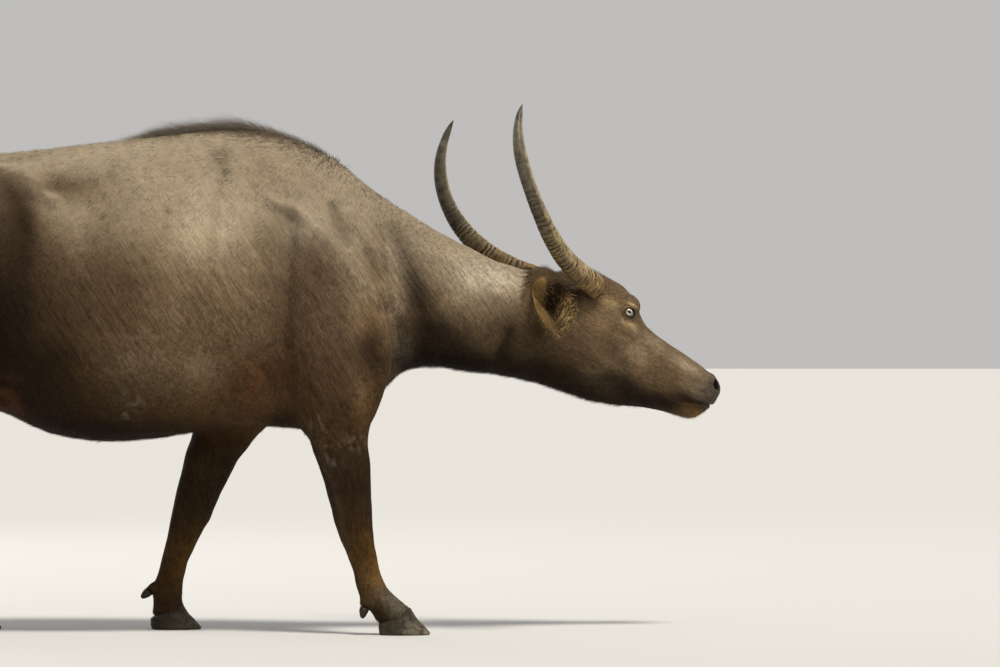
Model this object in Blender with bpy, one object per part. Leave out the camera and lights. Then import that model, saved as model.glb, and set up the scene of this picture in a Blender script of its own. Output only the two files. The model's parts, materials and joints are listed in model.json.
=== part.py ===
"""A walking water buffalo cow, life size: hide, horns, ears, eyes, tail and claws as closed solids.

Metres, +Z up, the animal faces +X and its left is +Y. The hide is modelled whole and then parted by thin cuts.
"""

import math

import bmesh
import bpy
import numpy as np
from mathutils import Matrix, Vector
from mathutils.bvhtree import BVHTree

# Gaps and mesh fineness
GAP = 0.0003
SEAT_GAP = 0.0005
VOXEL = 0.006
HIDE_TRIANGLES = 6200
THIN_CARE = 0.0006
RING_SIDES = 40

# Where the neck starts to turn to the animal's left, and how fast
NECK_TURN_START = 0.20
NECK_TURN_RATE = 0.364

# The head's own frame: the middle of the back of the skull, and how the head is turned
HEAD_ORIGIN = Vector((0.690, 0.091, 0.838))
HEAD_YAW = math.radians(20.0)
HEAD_PITCH = math.radians(24.5)
HEAD_ROLL = math.radians(-3.0)

# Trunk and neck in upright planes: x, top z, widest z, bottom z, half width, top and bottom roundness
TRUNK = (
    (-1.198, 1.060, 1.000, 0.930, 0.050, 2.0, 2.0),
    (-1.184, 1.130, 1.000, 0.830, 0.105, 2.0, 2.0),
    (-1.152, 1.202, 1.000, 0.730, 0.160, 2.0, 2.0),
    (-1.090, 1.256, 0.990, 0.660, 0.205, 1.9, 2.0),
    (-0.960, 1.294, 0.980, 0.620, 0.235, 1.9, 2.0),
    (-0.820, 1.310, 0.940, 0.600, 0.268, 1.9, 2.1),
    (-0.680, 1.324, 0.890, 0.540, 0.302, 1.9, 2.2),
    (-0.545, 1.340, 0.860, 0.518, 0.325, 1.9, 2.2),
    (-0.410, 1.358, 0.860, 0.524, 0.320, 1.85, 2.2),
    (-0.270, 1.376, 0.870, 0.545, 0.297, 1.75, 2.1),
    (-0.165, 1.382, 0.880, 0.558, 0.270, 1.65, 2.1),
    (-0.055, 1.366, 0.880, 0.556, 0.242, 1.6, 2.0),
    (0.055, 1.322, 0.880, 0.550, 0.215, 1.65, 2.0),
    (0.130, 1.272, 0.900, 0.565, 0.192, 1.75, 2.0),
    (0.200, 1.212, 0.910, 0.620, 0.165, 1.85, 2.0),
    (0.270, 1.165, 0.910, 0.700, 0.142, 1.9, 2.0),
    (0.360, 1.110, 0.900, 0.722, 0.126, 1.9, 2.0),
    (0.450, 1.062, 0.870, 0.708, 0.118, 1.9, 2.0),
    (0.545, 1.016, 0.840, 0.700, 0.112, 1.9, 2.0),
    (0.630, 0.990, 0.820, 0.682, 0.106, 2.0, 2.0),
    (0.700, 0.950, 0.820, 0.690, 0.080, 2.0, 2.0),
)

# Head across its own axis: distance along, top, widest, bottom height, half width, top and bottom roundness
HEAD = (
    (-0.110, 0.105, 0.000, -0.115, 0.070, 2.0, 2.0),
    (-0.060, 0.136, 0.005, -0.158, 0.090, 1.9, 2.0),
    (0.000, 0.166, 0.020, -0.168, 0.098, 1.9, 2.0),
    (0.050, 0.187, 0.045, -0.163, 0.102, 2.3, 1.9),
    (0.100, 0.186, 0.060, -0.156, 0.104, 2.6, 1.9),
    (0.145, 0.179, 0.075, -0.152, 0.102, 2.6, 1.8),
    (0.185, 0.153, 0.070, -0.147, 0.095, 2.5, 1.8),
    (0.225, 0.122, 0.045, -0.137, 0.083, 2.4, 1.8),
    (0.275, 0.106, 0.015, -0.122, 0.071, 2.3, 1.8),
    (0.335, 0.097, -0.005, -0.100, 0.062, 2.3, 1.9),
    (0.385, 0.091, -0.006, -0.086, 0.060, 2.3, 2.0),
    (0.430, 0.083, -0.004, -0.078, 0.064, 2.4, 2.1),
    (0.470, 0.073, 0.000, -0.066, 0.066, 2.6, 2.2),
    (0.500, 0.064, 0.004, -0.042, 0.060, 2.6, 2.2),
    (0.517, 0.050, 0.008, -0.018, 0.044, 2.4, 2.0),
)

# Forelegs from shoulder blade to coronet: z, x of the right leg, x of the left, distance out, half depth, half width
FORELEG = (
    (1.270, -0.100, -0.130, 0.085, 0.060, 0.030),
    (1.120, -0.040, -0.125, 0.140, 0.115, 0.050),
    (0.980, 0.030, -0.115, 0.172, 0.142, 0.062),
    (0.850, 0.085, -0.115, 0.184, 0.160, 0.074),
    (0.740, 0.107, -0.140, 0.188, 0.156, 0.082),
    (0.640, 0.108, -0.178, 0.184, 0.126, 0.080),
    (0.575, 0.108, -0.206, 0.177, 0.100, 0.070),
    (0.520, 0.115, -0.232, 0.170, 0.080, 0.060),
    (0.450, 0.130, -0.260, 0.163, 0.070, 0.051),
    (0.380, 0.140, -0.285, 0.158, 0.061, 0.046),
    (0.325, 0.148, -0.303, 0.155, 0.056, 0.049),
    (0.280, 0.156, -0.319, 0.153, 0.049, 0.045),
    (0.235, 0.168, -0.336, 0.152, 0.042, 0.037),
    (0.180, 0.182, -0.353, 0.150, 0.038, 0.033),
    (0.135, 0.195, -0.363, 0.150, 0.039, 0.039),
    (0.105, 0.210, -0.368, 0.150, 0.040, 0.046),
    (0.078, 0.234, -0.370, 0.150, 0.040, 0.049),
    (0.045, 0.268, -0.366, 0.150, 0.043, 0.051),
    (0.010, 0.298, -0.360, 0.150, 0.044, 0.052),
)

# Hind legs from hip to coronet, in the same columns
HINDLEG = (
    (1.120, -1.000, -0.970, 0.120, 0.120, 0.055),
    (0.980, -0.992, -0.952, 0.172, 0.190, 0.080),
    (0.850, -0.988, -0.940, 0.190, 0.200, 0.092),
    (0.740, -0.988, -0.935, 0.188, 0.172, 0.085),
    (0.650, -1.002, -0.946, 0.180, 0.128, 0.070),
    (0.570, -1.036, -0.968, 0.173, 0.096, 0.057),
    (0.500, -1.076, -0.994, 0.167, 0.076, 0.047),
    (0.440, -1.108, -1.014, 0.163, 0.068, 0.043),
    (0.385, -1.124, -1.018, 0.160, 0.056, 0.039),
    (0.320, -1.130, -1.010, 0.158, 0.042, 0.034),
    (0.240, -1.132, -0.996, 0.156, 0.037, 0.031),
    (0.170, -1.134, -0.984, 0.155, 0.038, 0.033),
    (0.125, -1.137, -0.978, 0.155, 0.044, 0.041),
    (0.098, -1.128, -0.964, 0.155, 0.045, 0.046),
    (0.072, -1.108, -0.942, 0.155, 0.043, 0.048),
    (0.042, -1.082, -0.914, 0.155, 0.043, 0.050),
    (0.010, -1.056, -0.888, 0.155, 0.043, 0.051),
)
FOOT_ROW = -2
FETLOCK_ROW = -4

# Feet: claws in the foot's own frame (x forward of the foot's centre, height above the floor)
FOOT_AHEAD = 0.014
CLEFT = 0.004
CLAW_LEVELS = (
    (0.000, -0.060, 0.074, 0.046),
    (0.004, -0.064, 0.078, 0.049),
    (0.030, -0.066, 0.055, 0.049),
    (0.060, -0.060, 0.027, 0.046),
    (0.085, -0.052, 0.004, 0.042),
)
CORONET_HEIGHT = 0.055
CORONET_TILT = math.radians(18.0)
HIND_FOOT_SCALE = 0.95
CLAW_SIDES = 11
DEWCLAW_RADIUS = 0.017
DEWCLAW_LENGTH = 0.030
DEWCLAW_SPREAD = 0.026
# How far behind and above the fetlock's middle the dewclaws of each leg sit, and how steeply they droop
DEWCLAWS = {
    "front_right": (0.030, -0.030, math.radians(78.0)),
    "front_left": (0.050, 0.002, math.radians(40.0)),
    "hind_right": (0.046, -0.006, math.radians(52.0)),
    "hind_left": (0.046, -0.006, math.radians(52.0)),
}

# Horns in the head's frame
HORN_BASE = Vector((0.0625, 0.0856, 0.1385))
HORN_LENGTH = 0.717
HORN_BACKWARD = (61.7, -62.8, 70.3, 116.5)
HORN_UPWARD = (-3.2, -11.6, 196.9, -107.9)
HORN_HALF_WIDTHS = (
    (0.0, 0.0322), (0.1, 0.0325), (0.3, 0.0298), (0.5, 0.0262), (0.65, 0.0212), (0.8, 0.0170), (0.9, 0.0118),
    (0.97, 0.0065), (1.0, 0.0022),
)
HORN_FLATNESS = ((0.0, 0.74), (0.15, 0.70), (0.4, 0.70), (0.6, 0.76), (0.8, 0.98), (1.0, 1.0))
HORN_TWIST = math.radians(20.0)
# The foot of the horn sits this much lower on the skull, fading out over a share of its length
HORN_DROP = Vector((0.002, 0.0, 0.0100))
HORN_DROP_END = 0.25
HORN_BOSS = ((-0.07, 0.044), (-0.03, 0.042), (0.0, 0.038), (0.02, 0.034))
HORN_BOSS_FLATNESS = 0.80
HORN_CUT = 0.012
HORN_RINGS = 37
HORN_SIDES = 10
HORN_SEAT_ROWS = 9
HORN_RIDGE_STEP = 3
HORN_RIDGE_HEIGHT = 0.0024
HORN_SMOOTH_FROM = 0.60

# Ears in the head's frame
EAR_BASE = Vector((-0.094, 0.104, 0.062))
EAR_ROOT_AXIS = Vector((-0.05, 0.90, -0.42))
EAR_TIP_AXIS = Vector((0.30, 0.52, -0.80))
EAR_OPENING = Vector((-0.13, 0.757, 0.654))
EAR_LENGTH = 0.222
EAR_WALL = 0.007
EAR_SOLID_ROOT = 0.28
EAR_HALF_ARCS = (
    (0.0, 0.090), (0.12, 0.087), (0.25, 0.086), (0.4, 0.085), (0.6, 0.076), (0.8, 0.055), (0.92, 0.034), (1.0, 0.010),
)
EAR_CURLS = (
    (0.0, 330.0), (0.12, 255.0), (0.25, 195.0), (0.4, 152.0), (0.6, 118.0), (0.8, 86.0), (0.92, 60.0), (1.0, 36.0),
)
EAR_SEAT_ROWS = 5
EAR_ROWS = 13
EAR_ROW_SPREAD = 1.3
EAR_COLUMNS = 10

# Eyes in the head's frame
EYE_CENTRE = Vector((0.1575, 0.0870, 0.1035))
EYE_RADIUS = 0.0205
EYE_AXIS = Vector((0.12, 0.98, 0.08))
EYE_TILT = math.radians(-8.0)
SOCKET_RADIUS = 0.0217
LID_RADIUS = 0.0242
LID_OPENING = (0.0175, 0.0125)

# Tail: z, x, y, radius, from its root to the start of the switch
TAIL = (
    (1.182, -1.090, 0.000, 0.056),
    (1.152, -1.158, 0.000, 0.049),
    (1.108, -1.208, 0.000, 0.042),
    (1.045, -1.242, 0.001, 0.035),
    (0.950, -1.268, 0.003, 0.027),
    (0.800, -1.293, 0.006, 0.021),
    (0.650, -1.291, 0.008, 0.017),
    (0.540, -1.289, 0.008, 0.015),
    (0.480, -1.288, 0.008, 0.013),
)
TAIL_CUT_HEIGHT = 1.060
TAIL_SIDES = 10
TAIL_STEP = 0.028
SWITCH_LOCKS = 18
SWITCH_CORE = ((0.480, 0.0130), (0.455, 0.0210), (0.415, 0.0240), (0.370, 0.0180), (0.330, 0.0060))
SWITCH_TIPS = (0.375, 0.275)
LOCK_WIDTH = 0.0110
LOCK_THICKNESS = 0.0045
LOCK_STATIONS = 5

# Udder between the thighs: centre, radii, and where its teats hang
UDDER_CENTRE = Vector((-0.950, 0.0, 0.600))
UDDER_RADII = (0.095, 0.080, 0.070)
TEAT_PLACES = ((-0.040, 0.040), (0.040, 0.038))
TEAT_RADIUS = 0.0120
TEAT_LENGTH = 0.050

# Cuts that part the hide
HEAD_CUT = -0.142
NECK_CUT = Vector((0.250, 0.0, 0.950))
NECK_CUT_LEAN = math.radians(7.5)
FORELEG_CUT = 0.510
HINDLEG_CUT = 0.555
UDDER_CUT = 0.580


def clear_scene():
    """Removes the startup objects."""
    for thing in list(bpy.data.objects):
        bpy.data.objects.remove(thing)


def resample(rows, step):
    """Rows read from one smooth curve through the given ones, evenly spaced in the first column."""
    table = np.array(rows, float)
    if table[0, 0] > table[-1, 0]:
        return resample(table[::-1], step)[::-1]
    at = table[:, 0]
    gaps = np.diff(at)[:, None]
    slopes = np.diff(table, axis=0) / gaps
    inner = (gaps[1:] * slopes[:-1] + gaps[:-1] * slopes[1:]) / (gaps[1:] + gaps[:-1])
    tangents = np.vstack([slopes[:1], inner, slopes[-1:]])
    wanted = np.linspace(at[0], at[-1], max(2, round((at[-1] - at[0]) / step) + 1))
    left = np.clip(np.searchsorted(at, wanted, side="right") - 1, 0, len(at) - 2)
    width = gaps[left]
    t = ((wanted - at[left])[:, None]) / width
    return (
        (2 * t**3 - 3 * t**2 + 1) * table[left]
        + (t**3 - 2 * t**2 + t) * width * tangents[left]
        + (3 * t**2 - 2 * t**3) * table[left + 1]
        + (t**3 - t**2) * width * tangents[left + 1]
    )


def profile(pairs, at):
    """A value read smoothly from (position, value) pairs."""
    table = resample(pairs, 0.01)
    return float(np.interp(at, table[:, 0], table[:, 1]))


def outline(half_width, up, down, top_power, bottom_power, sides=RING_SIDES):
    """Points round a section: across and up from its widest level. A power of 2 is an ellipse, less is more pointed."""
    angle = np.linspace(0, 2 * math.pi, sides, endpoint=False)
    across, rise = np.cos(angle), np.sin(angle)
    power = 2 / np.where(rise >= 0, top_power, bottom_power)
    reach = np.where(rise >= 0, up, down)
    return np.stack(
        [
            half_width * np.sign(across) * np.abs(across) ** power,
            reach * np.sign(rise) * np.abs(rise) ** power,
        ],
        axis=1,
    )


def new_object(name, mesh):
    """Links a mesh into the scene as an object."""
    thing = bpy.data.objects.new(name, mesh)
    bpy.context.scene.collection.objects.link(thing)
    return thing


def mesh_from(bm, name):
    """Turns a bmesh into a mesh whose faces point out."""
    bmesh.ops.recalc_face_normals(bm, faces=bm.faces)
    mesh = bpy.data.meshes.new(name)
    bm.to_mesh(mesh)
    bm.free()
    return mesh


def add_loft(bm, rings):
    """A closed tube through rings with the same number of points."""
    loops = [[bm.verts.new(point) for point in ring] for ring in rings]
    for low, high in zip(loops, loops[1:]):
        for i in range(len(low)):
            bm.faces.new((low[i - 1], low[i], high[i], high[i - 1]))
    bm.faces.new(list(reversed(loops[0])))
    bm.faces.new(loops[-1])


def add_blob(bm, centre, radii, turn=Matrix.Identity(4)):
    """An ellipsoid, for a bone or a muscle that swells under the hide."""
    place = Matrix.Translation(centre) @ turn @ Matrix.Diagonal((*radii, 1.0))
    bmesh.ops.create_icosphere(bm, subdivisions=3, radius=1.0, matrix=place)


def head_matrix():
    """The head's frame: x towards the muzzle, y to the animal's left, z out of the forehead."""
    turn = (
        Matrix.Rotation(HEAD_YAW, 4, "Z")
        @ Matrix.Rotation(HEAD_PITCH, 4, "Y")
        @ Matrix.Rotation(HEAD_ROLL, 4, "X")
    )
    return Matrix.Translation(HEAD_ORIGIN) @ turn


HEAD_FRAME = head_matrix()


def in_head(point, side=1):
    """A point of the head's frame in the animal's, on its left with side 1 or its right with side -1."""
    return HEAD_FRAME @ Vector((point[0], point[1] * side, point[2]))


def head_direction(vector, side=1):
    """A direction of the head's frame in the animal's."""
    return (HEAD_FRAME.to_3x3() @ Vector((vector[0], vector[1] * side, vector[2]))).normalized()


def neck_sideways(x):
    """How far the neck's middle has swung to the left at x."""
    return NECK_TURN_RATE * max(0.0, x - NECK_TURN_START) ** 2


def trunk_rings():
    """Upright sections from the rump to the back of the skull."""
    for x, top, widest, bottom, half_width, top_power, bottom_power in resample(TRUNK, 0.02):
        points = outline(half_width, top - widest, widest - bottom, top_power, bottom_power)
        yield [Vector((x, neck_sideways(x) + across, widest + rise)) for across, rise in points]


def head_rings():
    """Sections across the head's axis from the back of the skull to the muzzle."""
    for along, top, widest, bottom, half_width, top_power, bottom_power in resample(HEAD, 0.010):
        points = outline(half_width, top - widest, widest - bottom, top_power, bottom_power)
        yield [in_head((along, across, widest + rise)) for across, rise in points]


def leg_rings(table, side):
    """Sections down one leg, square to its middle line."""
    column = 1 if side < 0 else 2
    rows = resample([(row[0], row[column], row[3], row[4], row[5]) for row in table], 0.012)
    middles = [Vector((x, side * out, z)) for z, x, out, _, _ in rows]
    for i, (_, _, _, half_depth, half_width) in enumerate(rows):
        along = (middles[min(i + 1, len(rows) - 1)] - middles[max(i - 1, 0)]).normalized()
        fore = Vector((0, 1, 0)).cross(along).normalized() * -1
        wide = along.cross(fore).normalized()
        points = outline(half_width, half_depth, half_depth, 2.2, 2.2, 28)
        yield [middles[i] + wide * across + fore * rise for across, rise in points]


def ring_stack(rows, sides):
    """Round sections along a line of z, x, y and radius, square to the line."""
    middles = [Vector((x, y, z)) for z, x, y, _ in rows]
    for i, row in enumerate(rows):
        along = (middles[min(i + 1, len(rows) - 1)] - middles[max(i - 1, 0)]).normalized()
        fore = Vector((0, 1, 0)).cross(along).normalized()
        wide = along.cross(fore).normalized()
        points = outline(row[3], row[3], row[3], 2, 2, sides)
        yield [middles[i] + wide * across + fore * rise for across, rise in points]


def horn_direction(t):
    """The horn's direction in the head's frame at a share of its length."""
    back = math.radians(sum(value * t**power for power, value in enumerate(HORN_BACKWARD)))
    lift = math.radians(sum(value * t**power for power, value in enumerate(HORN_UPWARD)))
    return Vector((-math.cos(lift) * math.sin(back), math.cos(lift) * math.cos(back), math.sin(lift)))


def horn_line(side):
    """Points and directions along the middle of a horn: out and back at first, then up and in."""
    step = 1.0 / (HORN_RINGS - 1)
    point = Vector(HORN_BASE)
    line = []
    for i in range(HORN_RINGS):
        lowered = point - HORN_DROP * max(0.0, 1 - i * step / HORN_DROP_END) ** 2
        line.append((i * step, in_head(lowered, side), head_direction(horn_direction(i * step), side)))
        point = point + horn_direction((i + 0.5) * step) * HORN_LENGTH * step
    return line


def horn_frames(side):
    """The share, point, direction, narrow side and wide side at each ring of a horn."""
    line = horn_line(side)
    flat = head_direction((0, 0, 1)).cross(line[0][2]).normalized()
    for t, point, along in line:
        flat = (flat - along * flat.dot(along)).normalized()
        turn = Matrix.Rotation(-HORN_TWIST * side, 3, along)
        yield t, point, along, turn @ flat, turn @ along.cross(flat)


def add_horn_boss(bm, side):
    """The hairy skin that swells up to the horn's foot."""
    _, base, along, narrow, wide = next(horn_frames(side))
    rings = []
    for offset, radius in HORN_BOSS:
        points = outline(radius * HORN_BOSS_FLATNESS, radius, radius, 2.3, 2.3, 20)
        rings.append([base + along * offset + narrow * a + wide * b for a, b in points])
    add_loft(bm, rings)


def ear_axis(share):
    """The ear's direction in the head's frame, bending down towards its tip."""
    return EAR_ROOT_AXIS.lerp(EAR_TIP_AXIS, share).normalized()


def add_ear_stump(bm, side):
    """The short root that carries the ear, up to a flat end."""
    along = head_direction(ear_axis(0), side)
    across = along.orthogonal().normalized()
    other = along.cross(across)
    rings = []
    for offset, radius in ((-0.08, 0.050), (-0.035, 0.042), (0.0, 0.036), (0.004, 0.035)):
        points = outline(radius, radius, radius, 2, 2, 20)
        rings.append([in_head(EAR_BASE, side) + along * offset + across * a + other * b for a, b in points])
    add_loft(bm, rings)


def foot_places():
    """Each foot's name, side and centre on the floor, with its size."""
    for name, side, table, scale in LEGS:
        last = table[FOOT_ROW]
        yield name, side, Vector((last[1 if side < 0 else 2] + FOOT_AHEAD, side * last[3], 0)), scale


LEGS = (
    ("front_right", -1, FORELEG, 1.0),
    ("front_left", 1, FORELEG, 1.0),
    ("hind_right", -1, HINDLEG, HIND_FOOT_SCALE),
    ("hind_left", 1, HINDLEG, HIND_FOOT_SCALE),
)


def dewclaw_places():
    """Each dewclaw's name, the place where it leaves the back of its fetlock, and the way it points."""
    for name, side, table, _ in LEGS:
        row = table[FETLOCK_ROW]
        x, out = row[1 if side < 0 else 2], row[3]
        behind, above, droop = DEWCLAWS[name]
        axis = Vector((-math.cos(droop), 0, -math.sin(droop)))
        for word, spread in (("a", -DEWCLAW_SPREAD), ("b", DEWCLAW_SPREAD)):
            yield f"dewclaw_{name}_{word}", Vector((x - behind, side * out + spread, row[0] + above)), axis


def add_hide_masses(bm):
    """Bones and muscles that give the trunk, legs and head their form."""
    for side, shoulder_x, elbow_x, stifle_x, hock_x in ((-1, 0.190, 0.030, -0.865, -1.158), (1, 0.115, -0.262, -0.815, -1.064)):
        add_blob(bm, (-1.140, side * 0.088, 1.085), (0.060, 0.050, 0.065))
        add_blob(bm, (-1.060, side * 0.150, 0.900), (0.130, 0.090, 0.200))
        add_blob(bm, (shoulder_x, side * 0.150, 0.780), (0.065, 0.060, 0.080))
        add_blob(bm, (elbow_x, side * 0.160, 0.592), (0.045, 0.045, 0.055))
        add_blob(bm, (stifle_x, side * 0.180, 0.700), (0.055, 0.050, 0.075))
        add_blob(bm, (hock_x, side * 0.160, 0.462), (0.022, 0.022, 0.036))
        tendon = []
        for t in np.linspace(0, 1, 8):
            middle = Vector((hock_x - 0.004 + 0.085 * t, side * (0.160 + 0.012 * t), 0.462 + 0.17 * t))
            radius = 0.017 + 0.018 * t
            points = outline(radius * 0.8, radius, radius, 2, 2, 16)
            tendon.append([middle + Vector((rise, across, 0)) for across, rise in points])
        add_loft(bm, tendon)
    for _, place, axis in dewclaw_places():
        add_blob(bm, place - axis * 0.010, (0.020, 0.019, 0.020))
    turn = HEAD_FRAME.to_3x3().to_4x4()
    for side in (-1, 1):
        add_blob(bm, in_head((0.151, 0.076, 0.126), side), (0.045, 0.030, 0.037), turn)
        add_blob(bm, in_head((0.095, 0.060, -0.035), side), (0.100, 0.040, 0.095), turn)
        add_blob(bm, in_head((0.474, 0.040, 0.036), side), (0.032, 0.026, 0.030), turn)
        add_blob(bm, in_head((-0.080, 0.072, 0.055), side), (0.055, 0.040, 0.050), turn)
        add_horn_boss(bm, side)
        add_ear_stump(bm, side)
    add_blob(bm, UDDER_CENTRE, UDDER_RADII)
    add_blob(bm, in_head((0.034, 0.0, 0.145)), (0.060, 0.066, 0.045), turn)
    add_blob(bm, in_head((0.478, 0.0, 0.002)), (0.040, 0.060, 0.030), turn)
    add_blob(bm, in_head((0.452, 0.0, -0.046)), (0.044, 0.048, 0.028), turn)


def hide_shell():
    """All the flesh as overlapping closed forms in one mesh."""
    bm = bmesh.new()
    add_loft(bm, list(trunk_rings()))
    add_loft(bm, list(head_rings()))
    for side in (-1, 1):
        add_loft(bm, list(leg_rings(FORELEG, side)))
        add_loft(bm, list(leg_rings(HINDLEG, side)))
    add_loft(bm, list(ring_stack(resample(TAIL[:5], TAIL_STEP), 20)))
    add_hide_masses(bm)
    return new_object("hide", mesh_from(bm, "hide"))


# Relief under the hide on both sides: x, distance out, z, reach along x, y and z, height
BODY_RELIEF = (
    (-0.775, 0.195, 1.205, 0.065, 0.075, 0.050, 0.034),
    (-0.610, 0.240, 1.165, 0.110, 0.120, 0.080, -0.018),
    (-0.930, 0.200, 1.190, 0.090, 0.100, 0.060, -0.012),
    (-0.800, 0.270, 0.720, 0.070, 0.120, 0.120, -0.010),
)

# Furrows of the shoulders for the right and left side: a line of x, distance out, z, then reach and height
FURROWS = (
    (-1, ((-0.020, 0.20, 1.180), (-0.055, 0.25, 0.950), (-0.050, 0.26, 0.720)), 0.035, -0.012),
    (1, ((-0.210, 0.20, 1.180), (-0.285, 0.25, 0.950), (-0.300, 0.26, 0.760)), 0.035, -0.012),
    (-1, ((0.215, 0.13, 1.060), (0.255, 0.16, 0.980), (0.275, 0.15, 0.840)), 0.040, -0.006),
    (1, ((0.150, 0.13, 1.060), (0.200, 0.16, 0.980), (0.230, 0.15, 0.840)), 0.040, -0.006),
    (-1, ((-0.080, 0.12, 1.280), (0.020, 0.19, 1.080), (0.140, 0.20, 0.880)), 0.028, 0.008),
    (1, ((-0.110, 0.12, 1.280), (-0.060, 0.19, 1.080), (0.030, 0.20, 0.880)), 0.028, 0.008),
)

# The same for the head, in its own frame
HEAD_RELIEF = (
    (0.115, 0.100, 0.098, 0.040, 0.030, 0.030, -0.009),
    (0.225, 0.075, 0.080, 0.035, 0.030, 0.022, -0.007),
)
MOUTH_LINE = (
    (0.520, 0.000, -0.012),
    (0.509, 0.028, -0.014),
    (0.488, 0.050, -0.020),
    (0.455, 0.058, -0.031),
    (0.415, 0.052, -0.046),
)
MOUTH_REACH = 0.010
MOUTH_PRESS = 0.004
MOUTH_DEPTH = 0.012
MOUTH_HALF_GAP = 0.0045
NOSTRIL_PLACE = (0.486, 0.050, 0.042)
NOSTRIL_AXIS = Vector((0.62, 0.78, 0.10))
NOSTRIL_RADII = (0.0125, 0.0190, 0.018)
NOSTRIL_SLANT = math.radians(28.0)


def mesh_arrays(mesh):
    """The mesh's points and normals."""
    points = np.empty(len(mesh.vertices) * 3, np.float32)
    mesh.vertices.foreach_get("co", points)
    normals = np.empty(len(mesh.vertices) * 3, np.float32)
    mesh.vertices.foreach_get("normal", normals)
    return points.reshape(-1, 3).astype(float), normals.reshape(-1, 3).astype(float)


def set_points(mesh, points):
    """Writes moved points back to the mesh."""
    mesh.vertices.foreach_set("co", points.astype(np.float32).ravel())
    mesh.update()


def swelling(points, centre, reach):
    """A soft hill, 1 at its centre."""
    away = (points - np.array(centre)) / np.array(reach)
    return np.exp(-(away**2).sum(axis=1))


def along_line(points, line, reach):
    """A soft ridge along a line through a few points, 1 on the line."""
    nearest = np.full(len(points), np.inf)
    line = np.array(line, float)
    for start, end in zip(line, line[1:]):
        run = end - start
        share = np.clip(((points - start) @ run) / (run @ run), 0, 1)
        away = np.linalg.norm(points - start - share[:, None] * run, axis=1)
        nearest = np.minimum(nearest, away)
    return np.exp(-((nearest / reach) ** 2))


def model_relief(mesh):
    """Presses the hollows and raises the bones and lips."""
    points, normals = mesh_arrays(mesh)
    rise = np.zeros(len(points))
    for side in (-1, 1):
        for x, out, z, *reach, height in BODY_RELIEF:
            rise += height * swelling(points, (x, side * out, z), reach)
    for side, line, reach, height in FURROWS:
        on_side = np.clip(points[:, 1] * side / 0.05, 0, 1)
        rise += height * on_side * along_line(points, [(x, side * out, z) for x, out, z in line], reach)
    to_head = np.array(HEAD_FRAME.inverted())
    local = points @ to_head[:3, :3].T + to_head[:3, 3]
    for side in (-1, 1):
        for along, out, up, *reach, height in HEAD_RELIEF:
            rise += height * swelling(local, (along, side * out, up), reach)
        mouth = [(along, side * out, up) for along, out, up in MOUTH_LINE]
        rise -= MOUTH_PRESS * along_line(local, mouth, MOUTH_REACH)
    set_points(mesh, points + normals * rise[:, None])


def apply_modifiers(thing):
    """Replaces the object's mesh by what its modifiers make of it."""
    graph = bpy.context.evaluated_depsgraph_get()
    mesh = bpy.data.meshes.new_from_object(thing.evaluated_get(graph))
    thing.modifiers.clear()
    thing.data = mesh


def add_group(thing, name, weights):
    """A vertex group with one weight for each point."""
    group = thing.vertex_groups.new(name=name)
    for level in np.unique(np.round(weights, 1)):
        chosen = np.flatnonzero(np.round(weights, 1) == level)
        group.add(chosen.tolist(), float(level), "REPLACE")
    return group


def blend_weights(points):
    """How much to soften the joins: most at the shoulders, thighs and neck, least on the head and lower legs."""
    to_head = np.array(HEAD_FRAME.inverted())
    local = points @ to_head[:3, :3].T + to_head[:3, 3]
    on_head = np.clip((local[:, 0] + 0.02) / 0.08, 0, 1)
    low = np.clip((0.60 - points[:, 2]) / 0.14, 0, 1) * (np.abs(points[:, 1]) > 0.08)
    on_hock = (points[:, 0] < -0.80) * np.clip(1 - np.abs(points[:, 2] - 0.50) / 0.14, 0, 1)
    return np.clip(1 - np.maximum(on_head, low), 0.1 + 0.4 * on_hock, 1)


def detail_weights(points):
    """How freely triangles may be merged: less on the head and feet."""
    to_head = np.array(HEAD_FRAME.inverted())
    local = points @ to_head[:3, :3].T + to_head[:3, 3]
    on_head = np.clip((local[:, 0] + 0.06) / 0.08, 0, 1)
    on_foot = np.clip((0.62 - points[:, 2]) / 0.25, 0, 1) * 0.5
    return 1 - np.maximum(on_head, on_foot) * 0.8


def soften(thing, group, rounds):
    """Smooths the mesh where the group's weights ask for it."""
    smooth = thing.modifiers.new("soften", "SMOOTH")
    smooth.factor = 0.5
    smooth.iterations = rounds
    if group:
        smooth.vertex_group = group.name


def make_hide():
    """The whole flesh as one closed surface, with softened joins and relief, thinned to its triangle budget."""
    hide = hide_shell()
    fuse = hide.modifiers.new("fuse", "REMESH")
    fuse.mode = "VOXEL"
    fuse.voxel_size = VOXEL
    apply_modifiers(hide)
    keep_largest(hide)
    points, _ = mesh_arrays(hide.data)
    soften(hide, add_group(hide, "blend", blend_weights(points)), 90)
    apply_modifiers(hide)
    soften(hide, None, 3)
    apply_modifiers(hide)
    model_relief(hide.data)
    points, _ = mesh_arrays(hide.data)
    hide.vertex_groups.clear()
    group = add_group(hide, "thin", detail_weights(points))
    thin = hide.modifiers.new("thin", "DECIMATE")
    thin.vertex_group = group.name
    thin.vertex_group_factor = THIN_CARE
    thin.ratio = HIDE_TRIANGLES / (2 * len(hide.data.polygons))
    thin.use_collapse_triangulate = True
    apply_modifiers(hide)
    hide.vertex_groups.clear()
    return hide


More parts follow.
